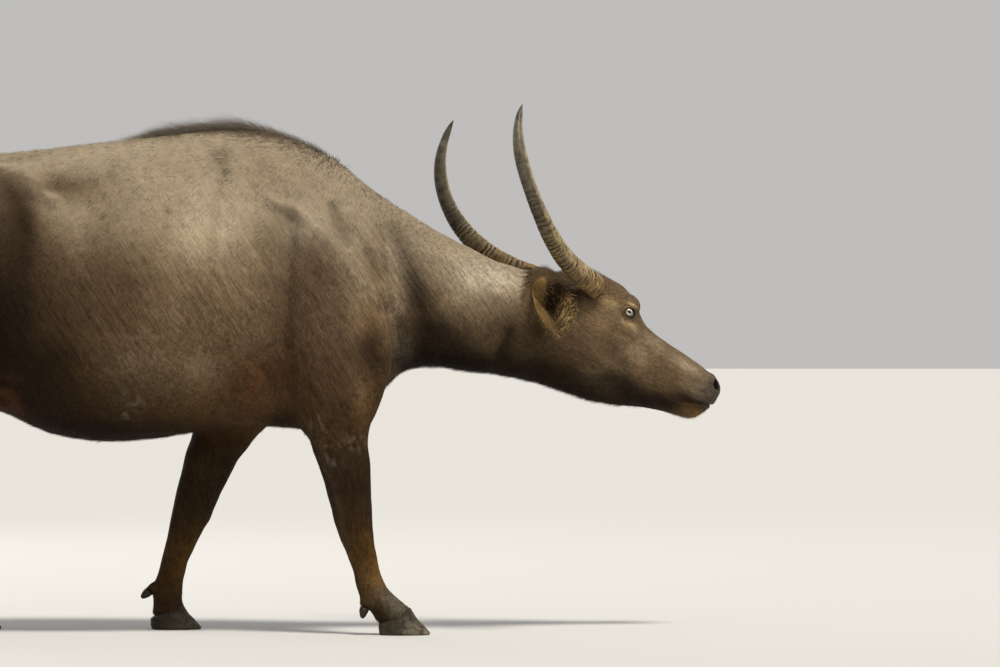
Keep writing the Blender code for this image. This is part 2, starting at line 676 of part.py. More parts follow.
def keep_largest(thing):
    """Keeps the largest closed surface of the mesh."""
    bm = bmesh.new()
    bm.from_mesh(thing.data)
    left = set(bm.faces)
    pieces = []
    while left:
        piece, front = [], [left.pop()]
        while front:
            face = front.pop()
            piece.append(face)
            for edge in face.edges:
                for other in edge.link_faces:
                    if other in left:
                        left.remove(other)
                        front.append(other)
        pieces.append(piece)
    pieces.sort(key=lambda piece: sum(face.calc_area() for face in piece))
    loose = [face for piece in pieces[:-1] for face in piece]
    bmesh.ops.delete(bm, geom=loose, context="FACES")
    bm.to_mesh(thing.data)
    bm.free()


def boolean(thing, other, operation):
    """Applies one exact Boolean of a helper object, or of a collection of them."""
    cut = thing.modifiers.new("cut", "BOOLEAN")
    cut.operation = operation
    cut.solver = "EXACT"
    if isinstance(other, bpy.types.Collection):
        cut.operand_type = "COLLECTION"
        cut.collection = other
    else:
        cut.object = other
    apply_modifiers(thing)


def facing(axis):
    """A rotation that turns +Z to an axis."""
    return Vector((0, 0, 1)).rotation_difference(Vector(axis)).to_matrix().to_4x4()


def cutter_cylinder(point, axis, radius, length):
    """A round cutter that starts at a point and runs along an axis."""
    bm = bmesh.new()
    place = Matrix.Translation(point) @ facing(axis) @ Matrix.Translation((0, 0, length / 2))
    bmesh.ops.create_cone(
        bm, cap_ends=True, segments=32, radius1=radius, radius2=radius, depth=length, matrix=place
    )
    return new_object("cutter", mesh_from(bm, "cutter"))


def cutter_box(low, high, turn=Matrix.Identity(4)):
    """A box between two corners of a turned frame."""
    bm = bmesh.new()
    low, high = Vector(low), Vector(high)
    place = turn @ Matrix.Translation((low + high) / 2) @ Matrix.Diagonal((*(high - low), 1.0))
    bmesh.ops.create_cube(bm, size=1.0, matrix=place)
    return new_object("cutter", mesh_from(bm, "cutter"))


def cutter_ball(centre, radius):
    """A round cutter for a socket."""
    bm = bmesh.new()
    place = Matrix.Translation(centre)
    bmesh.ops.create_uvsphere(bm, u_segments=20, v_segments=12, radius=radius, matrix=place)
    return new_object("cutter", mesh_from(bm, "cutter"))


def trim(thing, cutters):
    """Cuts all the cutters from the object at once and removes them."""
    group = bpy.data.collections.new("cutters")
    for cutter in cutters:
        group.objects.link(cutter)
    boolean(thing, group, "DIFFERENCE")
    for cutter in cutters:
        bpy.data.objects.remove(cutter)
    bpy.data.collections.remove(group)
    keep_largest(thing)


def part_off(thing, name, box_of):
    """Splits off what lies in a box as an object of its own, with a thin gap between. box_of makes the box, grown by a gap."""
    piece = new_object(name, thing.data.copy())
    inside = box_of(0.0)
    boolean(piece, inside, "INTERSECT")
    keep_largest(piece)
    bpy.data.objects.remove(inside)
    around = box_of(GAP)
    boolean(thing, around, "DIFFERENCE")
    keep_largest(thing)
    bpy.data.objects.remove(around)
    return piece


def add_teats(udder):
    """Joins four short teats to the udder."""
    bm = bmesh.new()
    for along, out in TEAT_PLACES:
        for side in (-1, 1):
            top = UDDER_CENTRE + Vector((along, side * out, -UDDER_RADII[2] * 0.6))
            rings = []
            for share, radius in ((0.0, 1.15), (0.6, 1.0), (0.92, 0.85), (1.0, 0.5)):
                points = outline(TEAT_RADIUS * radius, TEAT_RADIUS * radius, TEAT_RADIUS * radius, 2, 2, 8)
                rings.append([top + Vector((a, b, -share * TEAT_LENGTH)) for a, b in points])
            add_loft(bm, rings)
    teats = new_object("teats", mesh_from(bm, "teats"))
    boolean(udder, teats, "UNION")
    bpy.data.objects.remove(teats)
    keep_largest(udder)


def add_lids(hide):
    """Joins the shell of the eyelids over each eye."""
    for side in (-1, 1):
        bm = bmesh.new()
        place = Matrix.Translation(in_head(EYE_CENTRE, side)) @ HEAD_FRAME.to_3x3().to_4x4()
        bmesh.ops.create_icosphere(bm, subdivisions=2, radius=LID_RADIUS, matrix=place)
        lids = new_object("lids", mesh_from(bm, "lids"))
        boolean(hide, lids, "UNION")
        bpy.data.objects.remove(lids)
    keep_largest(hide)


def lid_opening(side):
    """The almond between the lids, as a cutter from the middle of the eye outwards."""
    along = head_direction(EYE_AXIS, side)
    fore = head_direction((math.cos(EYE_TILT), 0, math.sin(EYE_TILT)), side)
    fore = (fore - along * fore.dot(along)).normalized()
    up = along.cross(fore)
    half_length, half_height = LID_OPENING
    rings = []
    for offset in (0.0, 0.05):
        points = outline(half_length, half_height, half_height, 1.7, 1.7, 14)
        rings.append([in_head(EYE_CENTRE, side) + along * offset + fore * a + up * b for a, b in points])
    return fitted_cutter(rings)


def skin_point(tree, point, outward):
    """Where the line through a point of the head meets the skin, seen from outside."""
    start = in_head(Vector(point) + outward * 0.08)
    hit, _, _, _ = tree.ray_cast(start, -head_direction(outward))
    return hit


def nostril_cutter(tree, side):
    """A slanted oval pit."""
    outward = Vector((NOSTRIL_AXIS.x, NOSTRIL_AXIS.y * side, NOSTRIL_AXIS.z)).normalized()
    place = Vector((NOSTRIL_PLACE[0], NOSTRIL_PLACE[1] * side, NOSTRIL_PLACE[2]))
    middle = skin_point(tree, place, outward)
    along = head_direction(outward)
    wide = (head_direction((0, 1, 0)) * side).cross(along).cross(along).normalized()
    turn = Matrix((along, wide, along.cross(wide))).transposed().to_4x4()
    bm = bmesh.new()
    spin = Matrix.Rotation(NOSTRIL_SLANT * side, 4, "X")
    wide_radius, tall_radius, depth = NOSTRIL_RADII
    radii = Matrix.Diagonal((depth, wide_radius, tall_radius, 1.0))
    bmesh.ops.create_icosphere(bm, subdivisions=2, radius=1.0, matrix=Matrix.Translation(middle) @ turn @ spin @ radii)
    return new_object("cutter", mesh_from(bm, "cutter"))


def mouth_cutter(tree):
    """A wedge along the line between the lips, deepest in front."""
    path = [Vector((x, -y, z)) for x, y, z in reversed(MOUTH_LINE[1:])] + [Vector(point) for point in MOUTH_LINE]
    up = head_direction((0, 0, 1))
    rings = []
    for i, point in enumerate(path):
        run = path[min(i + 1, len(path) - 1)] - path[max(i - 1, 0)]
        outward = Vector((run.y, -run.x, 0)).normalized()
        skin = skin_point(tree, point, outward)
        out = head_direction(outward)
        from_middle = abs(2 * i / (len(path) - 1) - 1)
        depth = MOUTH_DEPTH * (1 - 0.75 * from_middle**2)
        half = MOUTH_HALF_GAP * (1 - 0.5 * from_middle)
        corners = (out * 0.02 + up * half * 2.6, out * 0.02 - up * half * 2.6, -out * depth - up * 0.0008, -out * depth + up * 0.0008)
        rings.append([skin + corner for corner in corners])
    bm = bmesh.new()
    add_loft(bm, rings)
    return new_object("cutter", mesh_from(bm, "cutter"))


def cut_face(head):
    """Cuts the nostrils and the line of the mouth into the muzzle."""
    bm = bmesh.new()
    bm.from_mesh(head.data)
    tree = BVHTree.FromBMesh(bm)
    bm.free()
    trim(head, [nostril_cutter(tree, -1), nostril_cutter(tree, 1), mouth_cutter(tree)])


def horn_radius(t, i):
    """Half the horn's wide side, with rings over its lower part."""
    ridge = HORN_RIDGE_HEIGHT if i % HORN_RIDGE_STEP == 1 and 0 < t < HORN_SMOOTH_FROM else 0.0
    return profile(HORN_HALF_WIDTHS, t) + ridge * (1 - t / HORN_SMOOTH_FROM * 0.5)


def horn_rings(side, grow=0.0):
    """Sections along a horn from its flat foot, grown all round for a cutter."""
    for i, (t, point, along, narrow, wide) in enumerate(horn_frames(side)):
        if 0 < t < (HORN_CUT + 0.004) / HORN_LENGTH:
            continue
        half_width = horn_radius(t, i) + grow
        half_depth = horn_radius(t, i) * profile(HORN_FLATNESS, t) + grow
        start = along * (HORN_CUT + GAP - grow) if i == 0 else Vector()
        points = outline(half_depth, half_width, half_width, 2.3, 2.3, HORN_SIDES)
        yield [point + start + narrow * a + wide * b for a, b in points]


def make_horn(name, side):
    """A horn that sweeps back and out, then up and in, with rings over its lower part."""
    bm = bmesh.new()
    add_loft(bm, list(horn_rings(side)))
    return new_object(name, mesh_from(bm, name))


def ear_sections(side, grow=0.0):
    """Sections along the ear: solid at the root, then a C whose outer wall runs round and whose inner wall runs back.

    Grown sections are the outer wall alone, closed straight across, for the cutter of the ear's seat.
    """
    point = Vector(EAR_BASE) + ear_axis(0) * (GAP - grow)
    shares = [(row / (EAR_ROWS - 1)) ** EAR_ROW_SPREAD for row in range(EAR_ROWS)]
    for share, following in zip(shares, shares[1:] + [1.0]):
        along = ear_axis(share)
        opening = (EAR_OPENING - along * EAR_OPENING.dot(along)).normalized()
        wide = along.cross(opening)
        curl = math.radians(profile(EAR_CURLS, share)) / 2
        radius = profile(EAR_HALF_ARCS, share) / curl
        middle = radius * (1 + math.cos(curl)) / 2
        wall = EAR_WALL * (1 - 0.45 * share) / 2
        hollow = min(1.0, share / EAR_SOLID_ROOT) ** 2
        ring = []
        for column in range(EAR_COLUMNS + 1):
            place = 2 * column / EAR_COLUMNS - 1
            reach = radius + wall + grow
            ring.append((reach * math.sin(curl * place), middle - reach * math.cos(curl * place)))
        for column in range(EAR_COLUMNS, -1, -1) if not grow else ():
            place = 2 * column / EAR_COLUMNS - 1
            reach = radius - wall
            across = reach * math.sin(curl * place)
            depth = middle - reach * math.cos(curl * place)
            across += (reach * math.sin(curl) * place - across) * (1 - hollow)
            depth += (middle - reach * math.cos(curl) - depth) * (1 - hollow)
            ring.append((across, depth))
        yield [in_head(point + wide * across + opening * depth, side) for across, depth in ring]
        point = point + along * EAR_LENGTH * (following - share)


def make_ear(name, side):
    """An ear: a leaf curled to a cup, on a root that meets the head's flat stump."""
    bm = bmesh.new()
    add_loft(bm, list(ear_sections(side)))
    return new_object(name, mesh_from(bm, name))


def make_eye(name, side):
    """An eyeball that sits in its socket behind the lids."""
    bm = bmesh.new()
    place = Matrix.Translation(in_head(EYE_CENTRE, side))
    bmesh.ops.create_uvsphere(bm, u_segments=14, v_segments=9, radius=EYE_RADIUS, matrix=place)
    return new_object(name, mesh_from(bm, name))


def coronet_normal():
    """The slant of the band where the claws meet the leg, higher at the toe."""
    return Vector((-math.sin(CORONET_TILT), 0, math.cos(CORONET_TILT)))


def make_claw(name, foot, scale, side):
    """One half of the cloven hoof: flat sole and cleft wall, round outer wall, slanted toe."""
    bm = bmesh.new()
    rings = []
    for z, back, front, width in CLAW_LEVELS:
        ring = []
        for i in range(CLAW_SIDES):
            angle = math.pi * i / (CLAW_SIDES - 1)
            middle, reach = (front + back) / 2, (front - back) / 2
            blunt = max(0.0, math.sin(angle)) ** 0.8
            inward = CLEFT + width * blunt * (1 - 0.12 * math.cos(angle))
            ring.append(foot + Vector((middle + reach * math.cos(angle), side * inward, z)) * scale)
        rings.append(ring)
    add_loft(bm, rings)
    claw = new_object(name, mesh_from(bm, name))
    top = foot + Vector((0, 0, CORONET_HEIGHT)) * scale - coronet_normal() * GAP
    trim(claw, [cutter_cylinder(top, coronet_normal(), 0.2, 0.2)])
    return claw


def make_dewclaw(name, place, axis):
    """A small blunt cone behind the fetlock."""
    across = Vector((0, 1, 0))
    other = axis.cross(across)
    rings = []
    for share, radius in ((0.0, 1.0), (0.4, 0.93), (0.8, 0.62), (1.0, 0.30)):
        points = outline(DEWCLAW_RADIUS * radius, DEWCLAW_RADIUS * radius * 0.8, DEWCLAW_RADIUS * radius * 0.8, 2, 2, 8)
        start = place + axis * (GAP + DEWCLAW_LENGTH * share)
        rings.append([start + across * a + other * b for a, b in points])
    bm = bmesh.new()
    add_loft(bm, rings)
    return new_object(name, mesh_from(bm, name))


def free_tail_rings(grow=0.0):
    """The tail's sections from where it is parted from the rump, grown all round for a cutter."""
    rows = [row for row in resample(TAIL, TAIL_STEP) if row[0] < TAIL_CUT_HEIGHT]
    grown = [(z, x, y, radius + grow) for z, x, y, radius in rows]
    rings = [[Vector(point) for point in ring] for ring in ring_stack(grown, TAIL_SIDES)]
    along = (rings[0][0] - rings[1][0]).normalized()
    rings[0] = [point + along * (grow - GAP) for point in rings[0]]
    return rings


def make_tail():
    """The tail from its root to the start of the switch."""
    bm = bmesh.new()
    add_loft(bm, free_tail_rings())
    return new_object("tail", mesh_from(bm, "tail"))


def make_switch():
    """The tuft at the tail's end: a core with flat locks that overlap and taper."""
    draw = np.random.default_rng(7)
    last = TAIL[-1]
    middle = Vector((last[1], last[2], 0))
    bm = bmesh.new()
    rings = []
    for z, radius in SWITCH_CORE:
        points = outline(radius, radius, radius, 2, 2, 12)
        level = z - GAP if z == SWITCH_CORE[0][0] else z
        rings.append([middle + Vector((a, b, level)) for a, b in points])
    add_loft(bm, rings)
    switch = new_object("tail_switch", mesh_from(bm, "tail_switch"))
    locks = bpy.data.collections.new("locks")
    core = np.array(SWITCH_CORE)[::-1]
    for i in range(SWITCH_LOCKS):
        angle = i * math.radians(137.5)
        top = 0.462 - 0.075 * (i / SWITCH_LOCKS)
        tip = SWITCH_TIPS[0] + (SWITCH_TIPS[1] - SWITCH_TIPS[0]) * draw.uniform(0.2, 1.0)
        start = float(np.interp(top, core[:, 0], core[:, 1])) - 0.006
        flare = draw.uniform(0.010, 0.030)
        lean = draw.uniform(-0.010, 0.010)
        outward = Vector((math.cos(angle), math.sin(angle), 0))
        round_about = Vector((-math.sin(angle), math.cos(angle), 0))
        rings = []
        for station in range(LOCK_STATIONS):
            share = station / (LOCK_STATIONS - 1)
            reach = start + flare * math.sin(math.pi * min(share, 0.72) * 0.85)
            place = middle + outward * reach + round_about * lean * share
            place.z = top + (tip - top) * share
            taper = (1 - share) ** 0.6 * 0.93 + 0.07
            wide, thick = LOCK_WIDTH * taper, LOCK_THICKNESS * taper
            rings.append(
                [place + round_about * a + outward * b for a, b in ((wide, 0), (0, thick), (-wide, 0), (0, -thick))]
            )
        bm = bmesh.new()
        add_loft(bm, rings)
        locks.objects.link(bpy.data.objects.new("lock", mesh_from(bm, "lock")))
    bpy.context.scene.collection.children.link(locks)
    boolean(switch, locks, "UNION")
    for lock in list(locks.objects):
        bpy.data.objects.remove(lock)
    bpy.data.collections.remove(locks)
    keep_largest(switch)
    return switch


def fitted_cutter(rings):
    """A cutter in the shape of the piece that sits there, grown by the gap."""
    bm = bmesh.new()
    add_loft(bm, rings)
    return new_object("cutter", mesh_from(bm, "cutter"))


def cut_seats(hide):
    """Seats for horns, ears, tail, claws and dewclaws, and the eye sockets."""
    cutters = []
    for side in (-1, 1):
        cutters.append(fitted_cutter(list(horn_rings(side, SEAT_GAP))[:HORN_SEAT_ROWS]))
        cutters.append(fitted_cutter(list(ear_sections(side, SEAT_GAP))[:EAR_SEAT_ROWS]))
        cutters.append(cutter_ball(in_head(EYE_CENTRE, side), SOCKET_RADIUS))
        cutters.append(lid_opening(side))
    for _, place, axis in dewclaw_places():
        cutters.append(cutter_cylinder(place, axis, 0.0215, 0.035))
    cutters.append(fitted_cutter(free_tail_rings(SEAT_GAP)))
    for _, _, foot, scale in foot_places():
        top = foot + Vector((0, 0, CORONET_HEIGHT)) * scale
        cutters.append(cutter_cylinder(top, -coronet_normal(), 0.14, 0.12))
    trim(hide, cutters)


def part_hide(hide):
    """Parts the hide into udder, legs, head and neck. What is left is the torso."""
    udder = part_off(hide, "udder", lambda g: cutter_box((-1.06, -0.098, 0.3), (-0.83, 0.098, UDDER_CUT + g)))
    add_teats(udder)
    for side, word in ((-1, "right"), (1, "left")):
        for end, low, high, cut in (("front", -0.50, 0.45, FORELEG_CUT), ("hind", -1.40, -0.82, HINDLEG_CUT)):
            inner, outer = sorted((side * 0.045, side * 0.45))
            part_off(hide, f"leg_{end}_{word}", lambda g: cutter_box((low, inner, -0.1), (high, outer, cut + g)))
    head = part_off(hide, "head", lambda g: cutter_box((HEAD_CUT - g, -0.5, -0.5), (0.8, 0.5, 0.5), HEAD_FRAME))
    lean = Matrix.Translation(NECK_CUT) @ Matrix.Rotation(NECK_CUT_LEAN, 4, "Y").inverted()
    part_off(hide, "neck", lambda g: cutter_box((-g, -0.5, -0.6), (0.8, 0.5, 0.6), lean))
    hide.name = "torso"
    cut_face(head)


# Colours and roughness of hide, horn, claw, eye and switch hair
FINISHES = {
    "hide": ((0.105, 0.088, 0.078, 1.0), 0.75),
    "horn": ((0.115, 0.100, 0.085, 1.0), 0.55),
    "claw": ((0.040, 0.035, 0.032, 1.0), 0.60),
    "eye": ((0.020, 0.014, 0.010, 1.0), 0.12),
    "hair": ((0.035, 0.026, 0.020, 1.0), 0.80),
}


def finish_of(name):
    """The finish that a node carries."""
    for start, finish in (("horn", "horn"), ("claw", "claw"), ("dewclaw", "claw"), ("eye", "eye"), ("tail_switch", "hair")):
        if name.startswith(start):
            return finish
    return "hide"


def add_materials():
    """Gives each object its finish."""
    made = {}
    for finish, (colour, roughness) in FINISHES.items():
        material = bpy.data.materials.new(finish)
        material.use_nodes = True
        shader = material.node_tree.nodes["Principled BSDF"]
        shader.inputs["Base Color"].default_value = colour
        shader.inputs["Roughness"].default_value = roughness
        made[finish] = material
    for thing in bpy.data.objects:
        thing.data.materials.clear()
        thing.data.materials.append(made[finish_of(thing.name)])
        thing.data.shade_smooth()
        thing.data.set_sharp_from_angle(angle=math.radians(50))


def centre_on_floor():
    """Moves the whole animal so that the middle of its box stands on the origin."""
    lows, highs = [], []
    for thing in bpy.data.objects:
        points, _ = mesh_arrays(thing.data)
        lows.append(points.min(axis=0))
        highs.append(points.max(axis=0))
    low, high = np.min(lows, axis=0), np.max(highs, axis=0)
    shift = Matrix.Translation((-(low[0] + high[0]) / 2, -(low[1] + high[1]) / 2, -low[2]))
    for thing in bpy.data.objects:
        thing.data.transform(shift)


def main():
    clear_scene()
    hide = make_hide()
    add_lids(hide)
    cut_seats(hide)
    part_hide(hide)
    for side, word in ((-1, "right"), (1, "left")):
        make_horn(f"horn_{word}", side)
        make_ear(f"ear_{word}", side)
        make_eye(f"eye_{word}", side)
    for name, side, foot, scale in foot_places():
        make_claw(f"claw_{name}_outer", foot, scale, side)
        make_claw(f"claw_{name}_inner", foot, scale, -side)
    for name, place, axis in dewclaw_places():
        make_dewclaw(name, place, axis)
    make_tail()
    make_switch()
    add_materials()
    centre_on_floor()


main()
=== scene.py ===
# %% [markdown]
# # A water buffalo that walks with its head low
#
# The solids of this animal are closed, plain and parted by thin gaps. This script dresses them: one skin grows
# over the flesh, the horns, eyes and hooves are made again more finely, and a sparse coat of hair lies over the
# skin. Everything is in metres and stays in the solids' own frame, so nothing has to be fitted afterwards.

# %% Load the solids
import json
import math

import bmesh
import bpy
import numpy as np
from mathutils import Matrix, Vector
from mathutils.bvhtree import BVHTree

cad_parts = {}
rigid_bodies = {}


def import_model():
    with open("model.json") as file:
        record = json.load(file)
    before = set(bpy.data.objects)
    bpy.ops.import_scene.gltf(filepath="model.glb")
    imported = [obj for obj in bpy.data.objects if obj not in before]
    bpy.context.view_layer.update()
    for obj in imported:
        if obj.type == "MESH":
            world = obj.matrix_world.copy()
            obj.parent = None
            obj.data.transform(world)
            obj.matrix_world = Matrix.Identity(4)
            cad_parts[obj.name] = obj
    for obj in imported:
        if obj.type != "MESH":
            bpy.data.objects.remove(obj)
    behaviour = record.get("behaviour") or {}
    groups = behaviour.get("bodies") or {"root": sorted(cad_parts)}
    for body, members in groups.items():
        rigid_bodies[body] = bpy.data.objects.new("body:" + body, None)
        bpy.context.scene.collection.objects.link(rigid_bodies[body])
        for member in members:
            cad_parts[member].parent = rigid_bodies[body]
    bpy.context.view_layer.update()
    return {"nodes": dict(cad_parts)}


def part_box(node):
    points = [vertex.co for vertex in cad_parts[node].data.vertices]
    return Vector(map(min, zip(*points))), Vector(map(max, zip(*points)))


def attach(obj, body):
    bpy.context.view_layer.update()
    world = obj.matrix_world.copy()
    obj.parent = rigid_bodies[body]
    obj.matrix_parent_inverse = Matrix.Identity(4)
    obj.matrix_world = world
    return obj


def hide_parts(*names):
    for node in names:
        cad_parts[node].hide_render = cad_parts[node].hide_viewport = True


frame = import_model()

nodes = frame["nodes"]

# %% [markdown]
# ## Where the photo's marks are
#
# One photo pixel is 2.73 mm at the middle of the animal, so a mark seen in the photo can be given in photo pixels
# and turned into metres. The camera is far away and level, which is why a flat scale is close enough.

# %% The photo's scale and camera
PIXEL = 0.00273
MIDDLE = Vector((0.08503, -0.01268, 0.0))
PHOTO_WIDTH = 1000
PHOTO_MIDDLE = (500, 333.5)
GROUND_LINE = 632
CAMERA_AWAY = 16.0


def photo_spot(across, down):
    """A photo pixel as metres along and above the ground."""
    return np.array([(across - 300) * PIXEL + MIDDLE.x, (GROUND_LINE - down) * PIXEL])


camera_data = bpy.data.cameras.new("camera")
camera_data.sensor_width = 36.0
camera_data.lens = 36.0 * CAMERA_AWAY / (PHOTO_WIDTH * PIXEL)
camera_data.clip_end = 300.0
camera = bpy.data.objects.new("camera", camera_data)
middle = photo_spot(*PHOTO_MIDDLE)
camera.location = (middle[0], MIDDLE.y - CAMERA_AWAY, middle[1])
camera.rotation_euler = (math.radians(90), 0, 0)
bpy.context.scene.collection.objects.link(camera)
bpy.context.scene.camera = camera
print("camera at", tuple(round(value, 3) for value in camera.location), "lens", round(camera_data.lens, 1))

# %% [markdown]
# ## The studio
#
# A pale floor runs far out and meets a pale sky of nearly the same tone. The main light is a sun lamp made very
# wide, so that its shadows are soft and the floor is lit evenly to the horizon. It stands high, on the camera's side
# and towards the head, as the sun does in the photo. A large weak lamp fills from behind.

# %% Floor, sky and lamps
def add_object(name, mesh):
    """A new object at the origin that shows this mesh."""
    thing = bpy.data.objects.new(name, mesh)
    bpy.context.scene.collection.objects.link(thing)
    return thing


def mesh_from(bm, name):
    """A mesh with the bmesh's shape. The bmesh is freed."""
    mesh = bpy.data.meshes.new(name)
    bm.to_mesh(mesh)
    bm.free()
    return mesh


def add_lamp(name, kind, place, size, power, colour):
    """A soft lamp that points at the animal's middle. A sun's size is its angle in degrees."""
    data = bpy.data.lights.new(name, kind)
    if kind == "SUN":
        data.angle = math.radians(size)
    else:
        data.size = size
    data.energy = power
    data.color = colour
    lamp = bpy.data.objects.new(name, data)
    lamp.location = place
    lamp.rotation_euler = (Vector((0.1, 0, 0.7)) - Vector(place)).to_track_quat("-Z", "Y").to_euler()
    bpy.context.scene.collection.objects.link(lamp)
    return lamp


FLOOR_RADIUS = 120.0
SKY_STRENGTH = 0.52
SUN_WIDTH, SUN_POWER = 14.0, 3.4
FILL_WIDTH, FILL_POWER = 4.0, 110

bm = bmesh.new()
bmesh.ops.create_circle(bm, cap_ends=True, segments=64, radius=FLOOR_RADIUS)
floor = add_object("floor", mesh_from(bm, "floor"))
floor_finish = bpy.data.materials.new("floor")
floor_finish.use_nodes = True
floor_finish.node_tree.nodes["Principled BSDF"].inputs["Base Color"].default_value = (0.56, 0.55, 0.53, 1)
floor_finish.node_tree.nodes["Principled BSDF"].inputs["Roughness"].default_value = 0.9
floor.data.materials.append(floor_finish)

sky = bpy.data.worlds.new("sky")
sky.use_nodes = True
sky.node_tree.nodes["Background"].inputs["Color"].default_value = (1.0, 0.985, 0.965, 1)
sky.node_tree.nodes["Background"].inputs["Strength"].default_value = SKY_STRENGTH
bpy.context.scene.world = sky
add_lamp("high_sun", "SUN", (2.3, -3.9, 9.0), SUN_WIDTH, SUN_POWER, (1.0, 0.96, 0.88))
add_lamp("fill", "AREA", (-4.5, 6.0, 4.0), FILL_WIDTH, FILL_POWER, (0.95, 0.97, 1.0))
bpy.context.scene.view_settings.view_transform = "Standard"

# %% [markdown]
# ## The head's own frame
#
# The head is turned a little to the animal's left and points down. Marks on the face are easiest to give along the
# face, out to its side and up from it, so this frame turns such places into the world and back.

# %% The head's frame
HEAD_ORIGIN = Vector((0.690, 0.091, 0.838)) + MIDDLE
HEAD_FRAME = Matrix.Translation(HEAD_ORIGIN) @ (
    Matrix.Rotation(math.radians(20.0), 4, "Z")
    @ Matrix.Rotation(math.radians(24.5), 4, "Y")
    @ Matrix.Rotation(math.radians(-3.0), 4, "X")
)
SIDES = {"right": -1, "left": 1}


def from_head(point, side=1):
    """A place of the head's frame in the world, mirrored for the right side."""
    return HEAD_FRAME @ Vector((point[0], point[1] * side, point[2]))


def turn_from_head(direction, side=1):
    """A direction of the head's frame in the world."""
    return (HEAD_FRAME.to_3x3() @ Vector((direction[0], direction[1] * side, direction[2]))).normalized()


def into_head(points):
    """World points in the head's frame, one row each."""
    back = np.array(HEAD_FRAME.inverted())
    return points @ back[:3, :3].T + back[:3, 3]


def either_side(face):
    """Places of the head's frame with the right side mirrored onto the left."""
    return np.stack([face[:, 0], np.abs(face[:, 1]), face[:, 2]], axis=1)


# %% [markdown]
# ## Reading and moving many points
#
# The skin has a few hundred thousand points, so they are read into one array, moved together and written back.
# These helpers do that, and smooth any value over a mesh by averaging each point with its neighbours.

# %% Helpers for points
def read_points(mesh):
    """The mesh's points, one row each."""
    values = np.empty(len(mesh.vertices) * 3, np.float32)
    mesh.vertices.foreach_get("co", values)
    return values.reshape(-1, 3).astype(float)


def read_normals(mesh):
    """The mesh's normals at its points."""
    values = np.empty(len(mesh.vertices) * 3, np.float32)
    mesh.vertex_normals.foreach_get("vector", values)
    return values.reshape(-1, 3).astype(float)


def write_points(mesh, points):
    """Moves the mesh's points."""
    mesh.vertices.foreach_set("co", points.astype(np.float32).ravel())
    mesh.update()


def read_edges(mesh):
    """The two ends of each edge."""
    values = np.empty(len(mesh.edges) * 2, np.int32)
    mesh.edges.foreach_get("vertices", values)
    return values.reshape(-1, 2)


def neighbour_mean(values, edges):
    """Each point's mean over the points that it shares an edge with."""
    first, second = edges.T
    count = len(values)
    shares = np.bincount(first, minlength=count) + np.bincount(second, minlength=count)
    columns = values.reshape(count, -1)
    total = np.empty_like(columns)
    for k in range(columns.shape[1]):
        total[:, k] = np.bincount(first, columns[second, k], count)
        total[:, k] += np.bincount(second, columns[first, k], count)
    return (total / np.maximum(shares, 1)[:, None]).reshape(values.shape)


def smoothed(values, edges, rounds, share=1.0):
    """Values averaged with their neighbours again and again, by a share of the way each time."""
    for _ in range(rounds):
        values = values + (neighbour_mean(values, edges) - values) * share
    return values


def apply_modifiers(thing):
    """Replaces the object's mesh by what its modifiers make of it."""
    graph = bpy.context.evaluated_depsgraph_get()
    made = bpy.data.meshes.new_from_object(thing.evaluated_get(graph))
    plain = thing.data
    thing.modifiers.clear()
    thing.data = made
    bpy.data.meshes.remove(plain)


def remesh(thing, voxel):
    """Grows one closed surface of even squares over the object."""
    grow = thing.modifiers.new("grow", "REMESH")
    grow.mode = "VOXEL"
    grow.voxel_size = voxel
    apply_modifiers(thing)


def shade_smooth(thing):
    """Lets the light run softly over the object's faces."""
    faces = thing.data.polygons
    faces.foreach_set("use_smooth", [True] * len(faces))


def unit(vectors):
    """Vectors at length 1."""
    return vectors / np.maximum(np.linalg.norm(vectors, axis=1, keepdims=True), 1e-9)


def hill(points, centre, reach):
    """1 at a centre, falling softly to 0 beyond its reach."""
    away = (points - np.array(centre)) / np.array(reach)
    return np.exp(-(away**2).sum(axis=1))


def ramp(values, start, end):
    """0 before start, 1 after end, smooth between."""
    share = np.clip((values - start) / (end - start), 0, 1)
    return share * share * (3 - 2 * share)


def near_line(points, line, reach):
    """1 on a line through photo pixels as seen from the side, fading out over its reach in metres."""
    flat = points[:, [0, 2]]
    nearest = np.full(len(points), np.inf)
    spots = [photo_spot(*spot) for spot in line]
    for start, end in zip(spots, spots[1:]):
        run = end - start
        share = np.clip((flat - start) @ run / (run @ run), 0, 1)
        nearest = np.minimum(nearest, np.linalg.norm(flat - start - share[:, None] * run, axis=1))
    return np.exp(-((nearest / reach) ** 2))


def ripple(points, length, seed):
    """A soft random field between about -1 and 1, made of a few waves of one length."""
    draw = np.random.default_rng(seed)
    total = np.zeros(len(points))
    for _ in range(7):
        way = draw.normal(size=3)
        way *= draw.uniform(0.7, 1.5) * 2 * math.pi / length / np.linalg.norm(way)
        total += np.sin(points @ way + draw.uniform(0, 2 * math.pi))
    return total / 3.0


# %% [markdown]
# ## One skin over the flesh
#
# The real hide has no seams. The flesh solids are copied and joined, and a voxel remesh grows one closed surface
# over them. Its facets are then smoothed away, strongly on the broad trunk and only a little on the face and ears.
# Smoothing shrinks a shape, so the loss is measured against the solids and given back, less the coat's depth.

